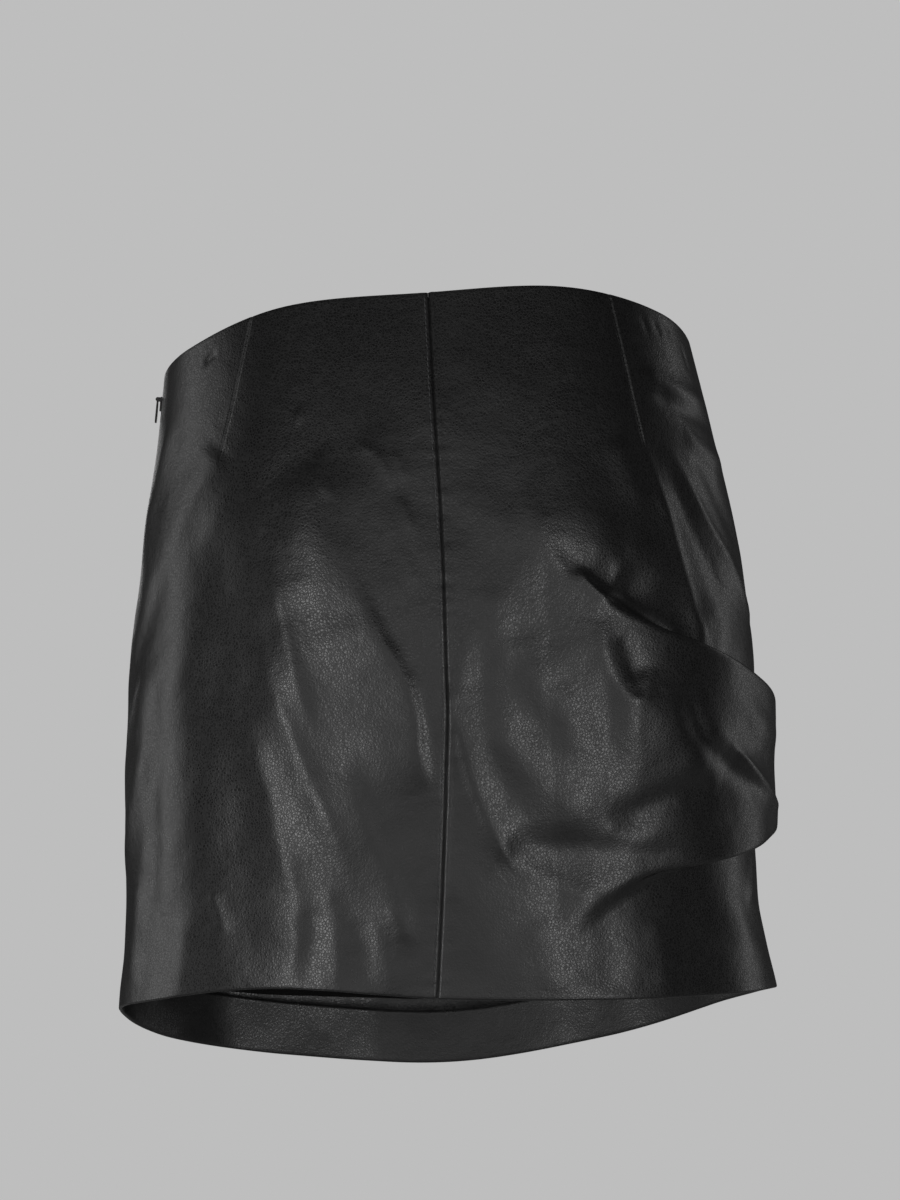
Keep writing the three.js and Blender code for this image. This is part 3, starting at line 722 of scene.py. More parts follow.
@dataclass(frozen=True)
class Panel:
    """One leather panel: a closed shell with turned, rounded edges at the waist and the hem.

    Steps and rows count the grid's parts between its knots across and its levels down.
    """

    name: str
    node: str
    form: SkirtForm
    steps: tuple[int, ...]
    dart: Dart | None = None
    rows: tuple[int, ...] = (9, 57, 32, 70, 30, 14, 2, 22)
    gap: float = 0.06
    zip_half_gap: float = 0.15
    neck_room: float = 0.75
    neck_span: Pair = (4, 22)
    neck_fade: float = 4.0
    edge_band: float = 3.6
    dart_band: float = 2.6
    wall: float = 1.3
    hem_wall: float = 2.2
    hem_turn: float = 30.0
    turn_step: float = 1.2
    waist_turn: float = 14.0
    lip_room: float = 4.0
    drape_starts: Pair = (2, 18)
    drape_ends: Pair = (230, 40)
    groove_shares: Pair = (0.15, 0.8)
    edge_steps: int = 5

    def zip_gap(self, height: Array) -> Array:
        """Half the gap at the zip seam in degrees, opened where the slider's neck passes through."""
        seam = np.full(np.shape(height), self.form.left_seam)
        below = self.form.waist(seam) - height
        top, foot = self.neck_span
        opened = np.clip(np.minimum((below - top) / self.neck_fade, (foot - below) / self.neck_fade), 0, 1)
        return self.form.degrees(self.zip_half_gap + self.neck_room * opened, seam, height)

    def limits(self, height: Array) -> tuple[Array, Array]:
        """Degrees round of the panel's two side edges, half a gap away from the seams' lines.

        Args:
            height: heights at which they are wanted.

        Returns:
            The first and the second edge.
        """
        form = self.form
        seam = form.seam_at(height)
        right = np.full(np.shape(height), form.right_seam)
        middle_gap = form.degrees(self.gap / 2, seam, height)
        right_gap = form.degrees(self.gap / 2, right, height)
        return {
            "back_left_panel": (form.left_seam + self.zip_gap(height), seam - middle_gap),
            "back_right_panel": (seam + middle_gap, right - right_gap),
            "front_panel": (right + right_gap, form.left_seam + 360 - self.zip_gap(height)),
        }[self.node]

    def knots(self, height: Array) -> Array:
        """Degrees round of the lines between which the columns are spread: edges, rolls and the dart.

        Args:
            height: heights at which they are wanted.

        Returns:
            One line on each row.
        """
        start, end = self.limits(height)
        inner = [start + self.form.degrees(self.edge_band, start, height)]
        if self.dart is not None:
            line = self.form.dart_at(self.dart, height)
            roll = self.form.degrees(self.dart_band, line, height)
            inner += [line - roll, line, line + roll]
        inner.append(end - self.form.degrees(self.edge_band, end, height))
        return np.stack([start, *inner, end])

    def heights(self, around: Array) -> Array:
        """Heights of the rows, which follow the turned edges at the waist and the hem.

        Between the turned edges they are even away from the drape, and gathered at its two lips across it.

        Args:
            around: degrees round, one for each column.

        Returns:
            Heights by row and column.
        """
        form = self.form
        waist, hem = form.waist(around), form.hem(around)
        top, bottom = form.lip(form.lip_top, around), form.lip(form.lip_bottom, around)
        half = form.lip(form.lip_half, around)
        facing, turn = waist - self.waist_turn, hem + self.hem_turn + self.turn_step / 2
        low = np.maximum(bottom - half, turn + self.lip_room)
        high = np.maximum(bottom + half, low + self.lip_room)
        draped = np.stack([facing, top + half, top - half, high, low, turn])
        between_turns = self.rows[1:-2]
        shares = np.cumsum((0, *between_turns)) / sum(between_turns)
        even = facing + (turn - facing) * shares.reshape(-1, *([1] * np.ndim(waist)))
        (start, rise), (end, fall) = self.drape_starts, self.drape_ends
        near = smooth((around - start) / rise) * smooth((end - around) / fall)
        middle = even + (draped - even) * near
        levels = np.concatenate([waist[None], middle, (turn - self.turn_step)[None], hem[None]])
        return self.spread(levels, self.rows)

    @staticmethod
    def spread(levels: Array, steps: tuple[int, ...]) -> Array:
        """Evenly spaced values between each two levels, with the levels themselves.

        Args:
            levels: the levels along the first axis.
            steps: number of steps from each level to the next.

        Returns:
            The values along the first axis.
        """
        low, share = Panel.stops(steps)
        share = share.reshape(-1, *([1] * (levels.ndim - 1)))
        return levels[low] * (1 - share) + levels[low + 1] * share

    @staticmethod
    def stops(steps: tuple[int, ...]) -> tuple[NDArray[np.int64], Array]:
        """Number of the level before each value, and the share of the way to the next one."""
        places = np.concatenate([k + np.arange(n) / n for k, n in enumerate(steps)] + [[len(steps)]])
        low = np.minimum(places.astype(int), len(steps) - 1)
        return low, places - low

    def places(self) -> tuple[Array, Array]:
        """Degrees round and height of each grid point, columns first.

        The rows are first laid out at the columns' angles at the waist, which gives heights good enough
        to place the columns, and then laid out again at those columns.
        """
        first = self.spread(self.knots(np.zeros(1)), self.steps)[:, 0]
        rough = self.heights(first).T
        knots = self.knots(rough)
        low, share = self.stops(self.steps)
        column, share = np.arange(len(low)), share[:, None]
        around = knots[low, column] * (1 - share) + knots[low + 1, column] * share
        levels = np.stack([self.heights(around[:, j])[j] for j in range(around.shape[1])], axis=1)
        return around, levels

    def surface(self) -> Surface:
        """The shell: outer face, rounded hem, inner face and rounded waist edge as one grid, and its sides.

        The inner face lies the wall's thickness in, along the outer face's normal. The rounded edges are
        half circles across the wall.
        """
        form = self.form
        around, height = self.places()
        outer = form.point(around, height)
        plain = form.point(around, height, *self.groove_shares)
        normal = unit(np.cross(np.gradient(plain, axis=1), np.gradient(plain, axis=0)))
        above_hem = height - form.hem(around)
        below_waist = form.waist(around) - height
        step = self.turn_step
        doubled = smooth((self.hem_turn + step / 2 - above_hem) / step)
        thick = self.wall + (self.hem_wall - self.wall) * doubled
        inner = plain - normal * thick[..., None]
        hem, waist = self.edge(outer, inner, -1), self.edge(inner, outer, 0)
        loop = np.concatenate([outer, hem, inner[:, ::-1], waist], axis=1)
        columns, ring = loop.shape[:2]
        rows = outer.shape[1]
        faces = grid_faces(columns, ring, close_columns=True)
        hair = 0.05
        turned = (above_hem < self.hem_turn + step / 2 + hair) | (below_waist < self.waist_turn - hair)
        on_inside = np.zeros((columns, ring), dtype=np.int64)
        on_inside[:, rows + self.edge_steps : 2 * rows + self.edge_steps] = ~turned[:, ::-1]
        finish = on_inside[:-1].ravel()
        sides, side_finish = self.sides(columns, ring, rows)
        return Surface(loop.reshape(-1, 3), [faces, *sides], [finish, *side_finish])

    def edge(self, near: Array, far: Array, row: int) -> Array:
        """Points of a half circle across the wall at one end of the rows.

        Args:
            near: points of the face where the half circle starts.
            far: points of the face where it ends.
            row: 0 for the first row or -1 for the last.

        Returns:
            Points by column, by place round the half circle, and by axis.
        """
        step = near[:, row] - near[:, -2 if row == -1 else 1]
        middle, half = (near[:, row] + far[:, row]) / 2, (near[:, row] - far[:, row]) / 2
        beyond = unit(step) * np.linalg.norm(half, axis=-1, keepdims=True)
        turn = np.pi * np.arange(1, self.edge_steps + 1) / (self.edge_steps + 1)
        return np.stack([middle + half * np.cos(a) + beyond * np.sin(a) for a in turn], axis=1)

    def sides(self, columns: int, ring: int, rows: int) -> tuple[Faces, Faces]:
        """Faces that close the shell along its two side edges, between the outer and the inner points.

        Args:
            columns: number of columns.
            ring: number of points in each column's whole ring.
            rows: number of points on the outer face in each column.

        Returns:
            The blocks of faces, and their finish numbers.
        """
        steps = self.edge_steps
        outer = np.arange(rows)
        inner = 2 * rows + steps - 1 - outer
        strip = np.stack([outer[:-1], inner[:-1], inner[1:], outer[1:]], axis=1)
        hem = np.concatenate([[rows - 1], np.arange(rows, rows + steps), [rows + steps]])[None, :]
        waist = np.concatenate([[2 * rows + steps - 1], np.arange(2 * rows + steps, ring), [0]])[None, :]
        last = (columns - 1) * ring
        blocks = [strip[:, ::-1], hem, waist, strip + last, hem[:, ::-1] + last, waist[:, ::-1] + last]
        return blocks, [np.zeros(len(block), dtype=np.int64) for block in blocks]

    def flat_size(self) -> Triple:
        """Width, height and area of the panel laid flat, in metres, as its outer face measures."""
        around, height = self.places()
        points = self.form.point(around, height) * MM
        width = np.linalg.norm(np.diff(points, axis=0), axis=-1).sum(axis=0).max()
        tall = np.linalg.norm(np.diff(points, axis=1), axis=-1).sum(axis=1).max()
        across, down = np.diff(points, axis=0)[:, :-1], np.diff(points, axis=1)[:-1]
        return width, tall, np.linalg.norm(np.cross(across, down), axis=-1).sum()

    def build(self, finishes: list[Material], held: str) -> bpy.types.Object:
        """Args:
            finishes: the leather's outer and inner finish.
            held: how the cloth is held; not used.

        Returns:
            The new piece.
        """
        piece = add_piece(self.name, self.surface(), finishes)
        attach(piece, "skirt")
        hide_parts(self.node)
        width, tall, area = self.flat_size()
        LOG.info("%s: %.3f x %.3f m, %.4f m2", self.name, width, tall, area)
        return piece


# Seams


@dataclass(frozen=True)
class Ribbon:
    """A flat band inside the leather along a seam, as a closed shell with bevelled long edges."""

    name: str
    form: SkirtForm
    seam: float | None
    sides: Pair
    top: float
    foot: float
    depth: float
    thick: float
    groove: float = 0.0
    steps: int = 10
    rows: int = 150
    bevel_share: float = 0.3
    groove_width: float = 0.9

    def line(self, height: Array) -> Array:
        """Degrees round of the seam that the band follows; without a number it is the centre back seam."""
        return self.form.seam_at(height) if self.seam is None else np.full(np.shape(height), self.seam)

    def surface(self) -> Surface:
        """Rings across the band: the face on the leather, then the free face, grooved by a bell curve."""
        height = np.linspace(self.top, self.foot, self.rows + 1)
        side = np.linspace(*self.sides, self.steps + 1)
        bevel = np.zeros(self.steps + 1)
        bevel[[0, -1]] = self.bevel_share * self.thick
        middle = (self.sides[0] + self.sides[1]) / 2
        free = self.thick - bevel - self.groove * np.exp(-(((side - middle) / self.groove_width) ** 2))
        across = np.concatenate([side, side[::-1]])
        down = self.depth + np.concatenate([bevel, free[::-1]])
        high = np.broadcast_to(height[:, None], (len(height), len(across)))
        around = self.line(high) + self.form.degrees(across, self.line(high), high)
        return capped(self.form.inside(around, high, down))

    def length(self) -> float:
        """Length of the band in metres, measured along its middle."""
        height = np.linspace(self.top, self.foot, self.rows + 1)
        middle = self.form.inside(self.line(height), height, self.depth)
        return np.linalg.norm(np.diff(middle, axis=0), axis=-1).sum() * MM

    def build(self, finish: Material, slot: str, node: str | None = None) -> bpy.types.Object:
        """Args:
            finish: its finish.
            slot: name of a material slot; not used.
            node: the CAD node that it stands for, if there is one.

        Returns:
            The new piece.
        """
        piece = add_piece(self.name, self.surface(), [finish])
        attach(piece, "skirt")
        if node:
            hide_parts(node)
        wide, long = (self.sides[1] - self.sides[0]) * MM, self.length()
        LOG.info("%s: %.4f x %.3f m", self.name, wide, long)
        return piece


@dataclass(frozen=True)
class Allowances:
    """The allowances of the three seams, pressed open inside and held a hair off the leather."""

    form: SkirtForm
    half_wide: float = 9.0
    below_edge: float = 1.5
    below_zip: float = -188.0
    back_foot: float = -317.0
    side_foot: float = -328.0
    off: float = 0.03
    thick: float = 1.0
    groove: float = 0.7
    steps: int = 16

    def build(self, finish: Material, wall: float) -> None:
        """Makes the three bands, from under the waist edge, or the zip, down to the turned hem.

        Args:
            finish: the finish of the leather's inner face.
            wall: the leather's thickness.
        """
        form = self.form
        back_top, right_top = form.waist(np.array([0.0, form.right_seam])) - self.below_edge
        seams = (
            ("Back_seam_allowance", None, back_top, self.back_foot),
            ("Right_seam_allowance", form.right_seam, right_top, self.side_foot),
            ("Left_seam_allowance", form.left_seam, self.below_zip, self.side_foot),
        )
        sides = (-self.half_wide, self.half_wide)
        for name, seam, top, foot in seams:
            depth = wall + self.off
            band = Ribbon(name, form, seam, sides, top, foot, depth, self.thick, self.groove, self.steps)
            band.build(finish, "leather")


@dataclass(frozen=True)
class Topstitch:
    """Line of stitches beside the centre back seam."""

    form: SkirtForm
    pitch: float = 3.3
    length: float = 2.7
    radius: float = 0.32
    slant: float = 0.16
    thinner: float = 0.45
    sink: float = 0.26
    lift: float = 0.24
    end_gap: float = 3.0

    def place(self, height: Array, off: float) -> Array:
        """Points of the outer face at a distance to the right of the stitched line."""
        seam = self.form.seam_at(height)
        return self.form.point(seam - self.form.degrees(self.form.stitch_off - off, seam, height), height)

    def stitch(self) -> Surface:
        """One stitch: rings on an arc whose ends dive into the leather, thinner towards both ends."""
        share = np.linspace(-1, 1, 5)[:, None]
        turn = np.linspace(0, 2 * np.pi, 6, endpoint=False)[None, :]
        radius = self.radius * (1 - self.thinner * share**4)
        along = share * self.length / 2 + 0 * turn
        sink = -self.sink * share**2
        return capped(np.stack([along, radius * np.cos(turn), sink + radius * np.sin(turn)], axis=-1))

    def build(self, finish: Material) -> bpy.types.Object:
        """Sets the stitches along the seam, each turned a little across it, and rides them on the skirt.

        Args:
            finish: the thread's finish.

        Returns:
            The new piece.
        """
        waist, hem = self.form.waist(np.zeros(1))[0], self.form.hem(np.zeros(1))[0]
        height = np.arange(waist - self.end_gap, hem + self.end_gap, -self.pitch)
        middle = self.place(height, 0.0)
        along = unit(self.place(height - 1.0, 0.0) - self.place(height + 1.0, 0.0))
        across = unit(self.place(height, 0.5) - self.place(height, -0.5))
        outward = unit(np.cross(along, across))
        outward *= np.sign(-outward[:, 1:2])
        along = unit(along + self.slant * across)
        across = np.cross(outward, along)
        axes = np.stack([along, across, outward], axis=1)
        surface = repeated(self.stitch(), middle + outward * self.lift, axes)
        piece = add_piece("Back_seam_topstitch", surface, [finish])
        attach(piece, "skirt")
        LOG.info("Back_seam_topstitch: %d stitches", len(height))
        return piece


# The zip


def oval(half_wide: float, half_tall: float, power: float, count: int = 40) -> Array:
    """Outline on which the shares of the two half sizes, each raised to a power, add up to 1.

    Args:
        half_wide: half its width.
        half_tall: half its height.
        power: the power; 2 gives an ellipse, and more gives squarer corners.
        count: number of points.

    Returns:
        One point of two numbers on each row.
    """
    turn = np.linspace(0, 2 * np.pi, count, endpoint=False)
    cos, sin = np.cos(turn), np.sin(turn)
    wide = half_wide * np.sign(cos) * np.abs(cos) ** (2 / power)
    return np.stack([wide, half_tall * np.sign(sin) * np.abs(sin) ** (2 / power)], axis=1)


def tapered(top: Pair, top_radius: float, foot: Pair, foot_radius: float, count: int = 20) -> Array:
    """Outline round two circles and the straight sides between them.

    Args:
        top: middle of the upper circle.
        top_radius: its radius.
        foot: middle of the lower circle.
        foot_radius: its radius.
        count: number of points on each circle.

    Returns:
        One point of two numbers on each row.
    """
    top, foot = np.array(top, float), np.array(foot, float)
    down = unit(foot - top)
    side = np.array([-down[1], down[0]])
    turn = np.linspace(0, np.pi, count)[:, None]
    foot_arc = foot + foot_radius * (np.cos(turn) * side + np.sin(turn) * down)
    top_arc = top - top_radius * (np.cos(turn) * side + np.sin(turn) * down)
    return np.concatenate([foot_arc, top_arc])


def plate(outline: Array, thick: float, edge: float, dish: float = 0.0) -> Surface:
    """A flat piece of metal with rounded edges, closed, lying in its first two axes round the third's zero.

    Args:
        outline: its outline, as rows of two numbers.
        thick: its thickness.
        edge: radius of the quarter round along its edges.
        dish: how far both faces sink in the middle.

    Returns:
        The surface, with its faces outwards.
    """
    step = np.roll(outline, -1, axis=0) - np.roll(outline, 1, axis=0)
    area = np.sum(outline[:, 0] * np.roll(outline[:, 1], -1) - outline[:, 1] * np.roll(outline[:, 0], -1))
    normal = unit(np.stack([step[:, 1], -step[:, 0]], axis=1)) * np.sign(area)
    middle = outline.mean(axis=0)
    outwards, sinking = np.array([0.3, 0.55, 0.66, 0.8]), np.array([1.0, 1.0, 0.45, 0.0])
    flat = middle + (outline - normal * edge - middle) * outwards[:, None, None]
    sunk = thick / 2 - dish * sinking
    turn = np.linspace(0, np.pi / 2, 5)[:, None, None]
    round_edge = outline - normal * edge * (1 - np.sin(turn))
    falls = thick / 2 - edge * (1 - np.cos(turn[:, 0, 0]))
    half = np.concatenate([flat, round_edge])
    level = np.concatenate([sunk, falls])
    both = np.concatenate([half, half[::-1]])
    height = np.broadcast_to(np.concatenate([level, -level[::-1]])[:, None, None], (*both.shape[:2], 1))
    return capped(np.concatenate([both, height], axis=-1))


@dataclass(frozen=True)
class Zip:
    """The concealed zip in the wearer's left side seam: two tapes, teeth, a slider and its pull.

    The slider's own axes run inwards, towards the centre back, and up the leather. Crown and body are given
    as width, height and thickness, the ears as radius, place along the pin and thickness, and the pin as its
    place outwards and up, and its radius.
    """

    form: SkirtForm
    head_below: float = 13.0
    tape_below: float = 3.0
    teeth_below: float = 19.0
    foot_below: float = 180.0
    tape: Pair = (1.1, 12.0)
    tape_depth: float = 1.42
    tape_thick: float = 0.6
    tooth_pitch: float = 1.45
    tooth_long: float = 3.0
    tooth_past: float = 0.75
    tooth_lift: float = 0.7
    crown: Triple = (3.6, 8.4, 1.1)
    crown_off: float = 0.3
    neck: Pair = (1.2, 5.0)
    body: Triple = (7.4, 9.0, 3.0)
    body_face: float = 3.4
    ear: Triple = (1.2, 1.8, 0.8)
    pin: Triple = (-2.9, 2.6, 0.4)
    pull_radii: Pair = (1.1, 2.2)
    pull_long: float = 13.6
    pull_thick: float = 1.1
    eye: Pair = (1.15, 0.45)

    def level(self, below: float) -> float:
        """Height at a distance below the waist edge at the zip."""
        return float(self.form.waist(np.array([self.form.left_seam]))[0] - below)

    def tapes(self, finish: Material) -> None:
        """Makes the two tapes, one on each side of the seam.

        Args:
            finish: the tapes' finish.
        """
        near, far = self.tape
        top, foot = self.level(self.tape_below), self.level(self.foot_below)
        for name, sides in (("Zip_tape_back", (near, far)), ("Zip_tape_front", (-far, -near))):
            depth, thick = self.tape_depth, self.tape_thick
            band = Ribbon(name, self.form, self.form.left_seam, sides, top, foot, depth, thick, rows=90)
            band.build(finish, "zip_tape", name.lower())

    def tooth(self) -> Surface:
        """One tooth: rings along a short bar that is thick at its head and thin at its root."""
        share = np.array([0.0, 0.35, 0.75, 1.0])[:, None]
        turn = np.linspace(0, 2 * np.pi, 8, endpoint=False)[None, :]
        size = np.interp(share, [0, 0.35, 0.75, 1], [0.45, 0.5, 0.62, 0.4])
        along = share * self.tooth_long - self.tooth_past + 0 * turn
        tall = 1.1 * size
        return capped(np.stack([along, size * np.cos(turn), self.tooth_lift + tall * np.sin(turn)], axis=-1))

    def teeth(self, finish: Material) -> None:
        """Sets the teeth in turn from the left and from the right, half a pitch apart, and rides them.

        Args:
            finish: the teeth's finish.
        """
        form = self.form
        top, foot = self.level(self.teeth_below), self.level(self.foot_below - 1)
        pieces = []
        for side, start in ((1.0, 0.0), (-1.0, self.tooth_pitch / 2)):
            height = np.arange(top - start, foot, -self.tooth_pitch)
            seam = np.full(len(height), form.left_seam)
            depth = self.tape_depth + self.tape_thick
            middle = form.inside(seam, height, depth)
            up = unit(form.inside(seam, height + 1, depth) - form.inside(seam, height - 1, depth))
            across = unit(form.inside(seam + 0.5, height, depth) - form.inside(seam - 0.5, height, depth))
            inward = unit(np.cross(across, up))
            inward *= np.sign(inward[:, :1])
            axes = np.stack([-side * across, up, inward], axis=1)
            pieces.append(repeated(self.tooth(), middle, axes))
        piece = add_piece("Zip_teeth", pieces[0].joined(pieces[1]), [finish])
        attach(piece, "skirt")
        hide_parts("zip_coil")
        LOG.info("Zip_teeth: %d faces", len(piece.data.polygons))

    def placed(self, shape: Surface, middle: Triple, order: tuple[int, int, int]) -> Surface:
        """Sets a part of the slider in place.

        Args:
            shape: the part, round the origin.
            middle: its middle in the slider's axes.
            order: which of the slider's axes its first, second and third axes lie along.

        Returns:
            The part in the skirt's own axes.
        """
        local = np.zeros_like(shape.points)
        local[:, list(order)] = shape.points
        local = local + np.array(middle)
        seam = np.array([self.form.left_seam])
        height = self.level(self.head_below)
        half = self.crown[1] / 2
        origin, above, below = (self.form.ring(seam, np.array([height + k]))[0] for k in (0.0, half, -half))
        lean = math.atan2(above[0] - below[0], above[2] - below[2])
        x = local[:, 0] * math.cos(lean) + local[:, 2] * math.sin(lean)
        z = -local[:, 0] * math.sin(lean) + local[:, 2] * math.cos(lean)
        return Surface(np.stack([x, local[:, 1], z], axis=1) + origin, shape.faces, shape.finish).outward()

    def slider(self, finish: Material) -> None:
        """Makes the slider: crown plate, neck, body, two ears and the pin between them.

        Args:
            finish: the metal's finish.
        """
        wide, tall, thick = self.crown
        crown = -self.crown_off - thick / 2
        body_wide, body_tall, body_thick = self.body
        ear_radius, ear_off, ear_thick = self.ear
        pin_out, pin_up, pin_radius = self.pin
        reach = self.body_face - crown + 1
        ear = plate(tapered((crown, pin_up), ear_radius, (pin_out, pin_up), ear_radius), ear_thick, 0.22)
        pin_long = 2 * ear_off + ear_thick + 0.1
        neck = plate(oval(self.neck[0] / 2, self.neck[1] / 2, 5), reach, 0.1)
        body = plate(oval(body_wide / 2, body_tall / 2, 5), body_thick, 0.7)
        pin = plate(oval(pin_radius, pin_radius, 2, 16), pin_long, 0.08)
        flat, upright = (1, 2, 0), (0, 2, 1)
        parts = [
            self.placed(plate(oval(wide / 2, tall / 2, 3.4), thick, 0.35), (crown, 0, 0), flat),
            self.placed(neck, (crown + reach / 2, 0, 0), flat),
            self.placed(body, (self.body_face + body_thick / 2, 0, 0), flat),
            self.placed(ear, (0, ear_off, 0), upright),
            self.placed(ear, (0, -ear_off, 0), upright),
            self.placed(pin, (pin_out, 0, pin_up), upright),
        ]
        whole = parts[0]
        for part in parts[1:]:
            whole = whole.joined(part)
        piece = add_piece("Zip_slider_body", whole, [finish])
        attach(piece, "skirt")
        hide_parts("zip_slider")
        LOG.info("Zip_slider_body: %d parts", len(parts))

    def pull(self, finish: Material) -> None:
        """Makes the pull: a barrel round the pin and a tab that widens to a round, dished foot.

        The barrel is a section of six points, as radius and place along the pin, turned once round the pin.

        Args:
            finish: the metal's finish.
        """
        pin_out, pin_up, _ = self.pin
        top_radius, foot_radius = self.pull_radii
        outer, inner = self.eye
        turn = np.linspace(0, 2 * np.pi, 28, endpoint=False)
        half, shoulder = top_radius - 0.12, outer - 0.15
        one_side = [(inner, half), (shoulder, top_radius), (outer, half)]
        section = np.array([(inner, -half), *one_side, (outer, -half), (shoulder, -top_radius)])
        radius, wide = section[:, 0][:, None], section[:, 1][:, None]
        ring = np.stack([radius * np.cos(turn), wide + 0 * turn, radius * np.sin(turn)], axis=-1)
        barrel = one_finish(ring.reshape(-1, 3), [grid_faces(len(section), len(turn), True, True)]).outward()
        outline = tapered((0, -1.7), top_radius, (0, foot_radius - self.pull_long), foot_radius)
        tab = plate(outline, self.pull_thick, 0.3, 0.2)
        place = (pin_out, 0.0, pin_up)
        whole = self.placed(barrel, place, (0, 1, 2)).joined(self.placed(tab, place, (1, 2, 0)))
        piece = add_piece("Zip_pull_tab", whole, [finish])
        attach(piece, "pull_tab")
        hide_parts("zip_pull")
        LOG.info("Zip_pull_tab: %.1f mm long", self.pull_long)

    def build(self, tape: Material, teeth: Material, metal: Material) -> None:
        """Makes all parts of the zip.

        Args:
            tape: the tapes' finish.
            teeth: the teeth's finish.
            metal: the finish of the slider and the pull.
        """
        self.tapes(tape)
        self.teeth(teeth)
        self.slider(metal)
        self.pull(metal)


# Finishes


class Nodes:
    """A node tree with short calls to add nodes and join them."""

    def __init__(self, tree: Tree) -> None:
        """Keeps the tree to work on."""
        self.tree = tree

    def link(self, source: Socket, target: Socket) -> None:
        """Joins two sockets."""
        self.tree.links.new(source, target)

    def maths(self, operation: str, *values: Socket | float) -> Socket:
        """Adds a Math node.

        Args:
            operation: what it does.
            values: its inputs in order, as sockets or numbers.

        Returns:
            Its output.
        """
        node = self.tree.nodes.new("ShaderNodeMath")
        node.operation = operation
        for socket, value in zip(node.inputs, values):
            self.put(socket, value)
        return node.outputs[0]

    def span(self, value: Socket, low: float, high: float, to_low: float, to_high: float) -> Socket:
        """Adds a Map Range node that takes one range of numbers to another.

        Args:
            value: the number to be mapped.
            low: where its range starts.
            high: where its range ends.
            to_low: the result at its start.
            to_high: the result at its end.

        Returns:
            The node's output.
        """
        node = self.tree.nodes.new("ShaderNodeMapRange")
        self.link(value, node.inputs["Value"])
        for name, number in zip(("From Min", "From Max", "To Min", "To Max"), (low, high, to_low, to_high)):
            node.inputs[name].default_value = number
        return node.outputs["Result"]

    def noise(self, vector: Socket, scale: Socket | float, detail: float, roughness: float = 0.5) -> Socket:
        """Adds a Noise Texture.

        Args:
            vector: where it is read.
            scale: its scale, as a socket or a number.
            detail: number of finer layers.
            roughness: share of each finer layer.

        Returns:
            Its height.
        """
        node = self.tree.nodes.new("ShaderNodeTexNoise")
        self.link(vector, node.inputs["Vector"])
        self.put(node.inputs["Scale"], scale)
        node.inputs["Detail"].default_value = detail
        node.inputs["Roughness"].default_value = roughness
        return node.outputs["Fac"]

    def cells(self, vector: Socket, scale: Socket | float, feature: str) -> Socket:
        """Adds a Voronoi Texture.

        Args:
            vector: where it is read.
            scale: its scale, as a socket or a number.
            feature: what it measures.

        Returns:
            Its distance.
        """
        node = self.tree.nodes.new("ShaderNodeTexVoronoi")
        node.feature = feature
        self.link(vector, node.inputs["Vector"])
        self.put(node.inputs["Scale"], scale)
        if feature == "SMOOTH_F1":
            node.inputs["Smoothness"].default_value = 0.45
        return node.outputs["Distance"]

    def put(self, socket: Socket, value: Socket | float) -> None:
        """Joins a socket to a socket, or sets its number."""
        if isinstance(value, Socket):
            self.link(value, socket)
        else:
            socket.default_value = value

    def group(self, tree: Tree, **values: Socket | float) -> Node:
        """Places a node group.

        Args:
            tree: the group.
            values: its inputs by name, as sockets or numbers.

        Returns:
            The new node.
        """
        node = self.tree.nodes.new("ShaderNodeGroup")
        node.node_tree = tree
        for name, value in values.items():
            self.put(node.inputs[name], value)
        return node


def new_group(
    name: str, inputs: dict[str, float | None], outputs: tuple[str, ...]
) -> tuple[Nodes, Node, Node]:
    """Starts a shader node group with named sockets.

    Args:
        name: the group's name.
        inputs: input names with their numbers, or None for a vector.
        outputs: names of the outputs, all numbers.

    Returns:
        The group's nodes, its input node and its output node.
    """
    tree = bpy.data.node_groups.new(name, "ShaderNodeTree")
    for key, value in inputs.items():
        kind = "NodeSocketVector" if value is None else "NodeSocketFloat"
        socket = tree.interface.new_socket(key, in_out="INPUT", socket_type=kind)
        if value is not None:
            socket.default_value = value
    for key in outputs:
        tree.interface.new_socket(key, in_out="OUTPUT", socket_type="NodeSocketFloat")
    nodes = Nodes(tree)
    return nodes, tree.nodes.new("NodeGroupInput"), tree.nodes.new("NodeGroupOutput")


def hide_grain() -> Tree:
    """Grain of a hide: rounded pebbles between fine valleys, of uneven size, on low creases.

    The height is 0.8 of each pebble's rounded crown and 0.4 of the creases, less 0.36 of the valleys.

    Returns:
        The group, with the outputs Height, Valley and Tone.
    """
    inputs = {"Vector": None, "Pebbles": 900.0, "Creases": 140.0}
    nodes, given, result = new_group("Hide grain", inputs, ("Height", "Valley", "Tone"))
    vector = given.outputs["Vector"]
    warp = nodes.tree.nodes.new("ShaderNodeTexNoise")
    nodes.link(vector, warp.inputs["Vector"])
    warp.inputs["Scale"].default_value = 260.0
    shift = nodes.tree.nodes.new("ShaderNodeVectorMath")
    shift.operation = "MULTIPLY_ADD"
    nodes.link(warp.outputs["Color"], shift.inputs[0])
    shift.inputs[1].default_value = (0.0012, 0.0012, 0.0012)
    nodes.link(vector, shift.inputs[2])
    bent = shift.outputs["Vector"]
    pebbles = nodes.cells(bent, given.outputs["Pebbles"], "SMOOTH_F1")
    edges = nodes.cells(bent, given.outputs["Pebbles"], "DISTANCE_TO_EDGE")
    valley = nodes.span(edges, 0.0, 0.24, 1.0, 0.0)
    creases = nodes.noise(bent, given.outputs["Creases"], 3.0, 0.55)
    rounded = nodes.span(pebbles, 0.0, 0.9, 1.0, 0.0)
    raised = nodes.maths("MULTIPLY_ADD", rounded, 0.8, nodes.maths("MULTIPLY", creases, 0.4))
    height = nodes.maths("MULTIPLY_ADD", valley, -0.36, raised)
    nodes.link(height, result.inputs["Height"])
    nodes.link(valley, result.inputs["Valley"])
    nodes.link(nodes.noise(vector, 38.0, 4.0, 0.6), result.inputs["Tone"])
    return nodes.tree


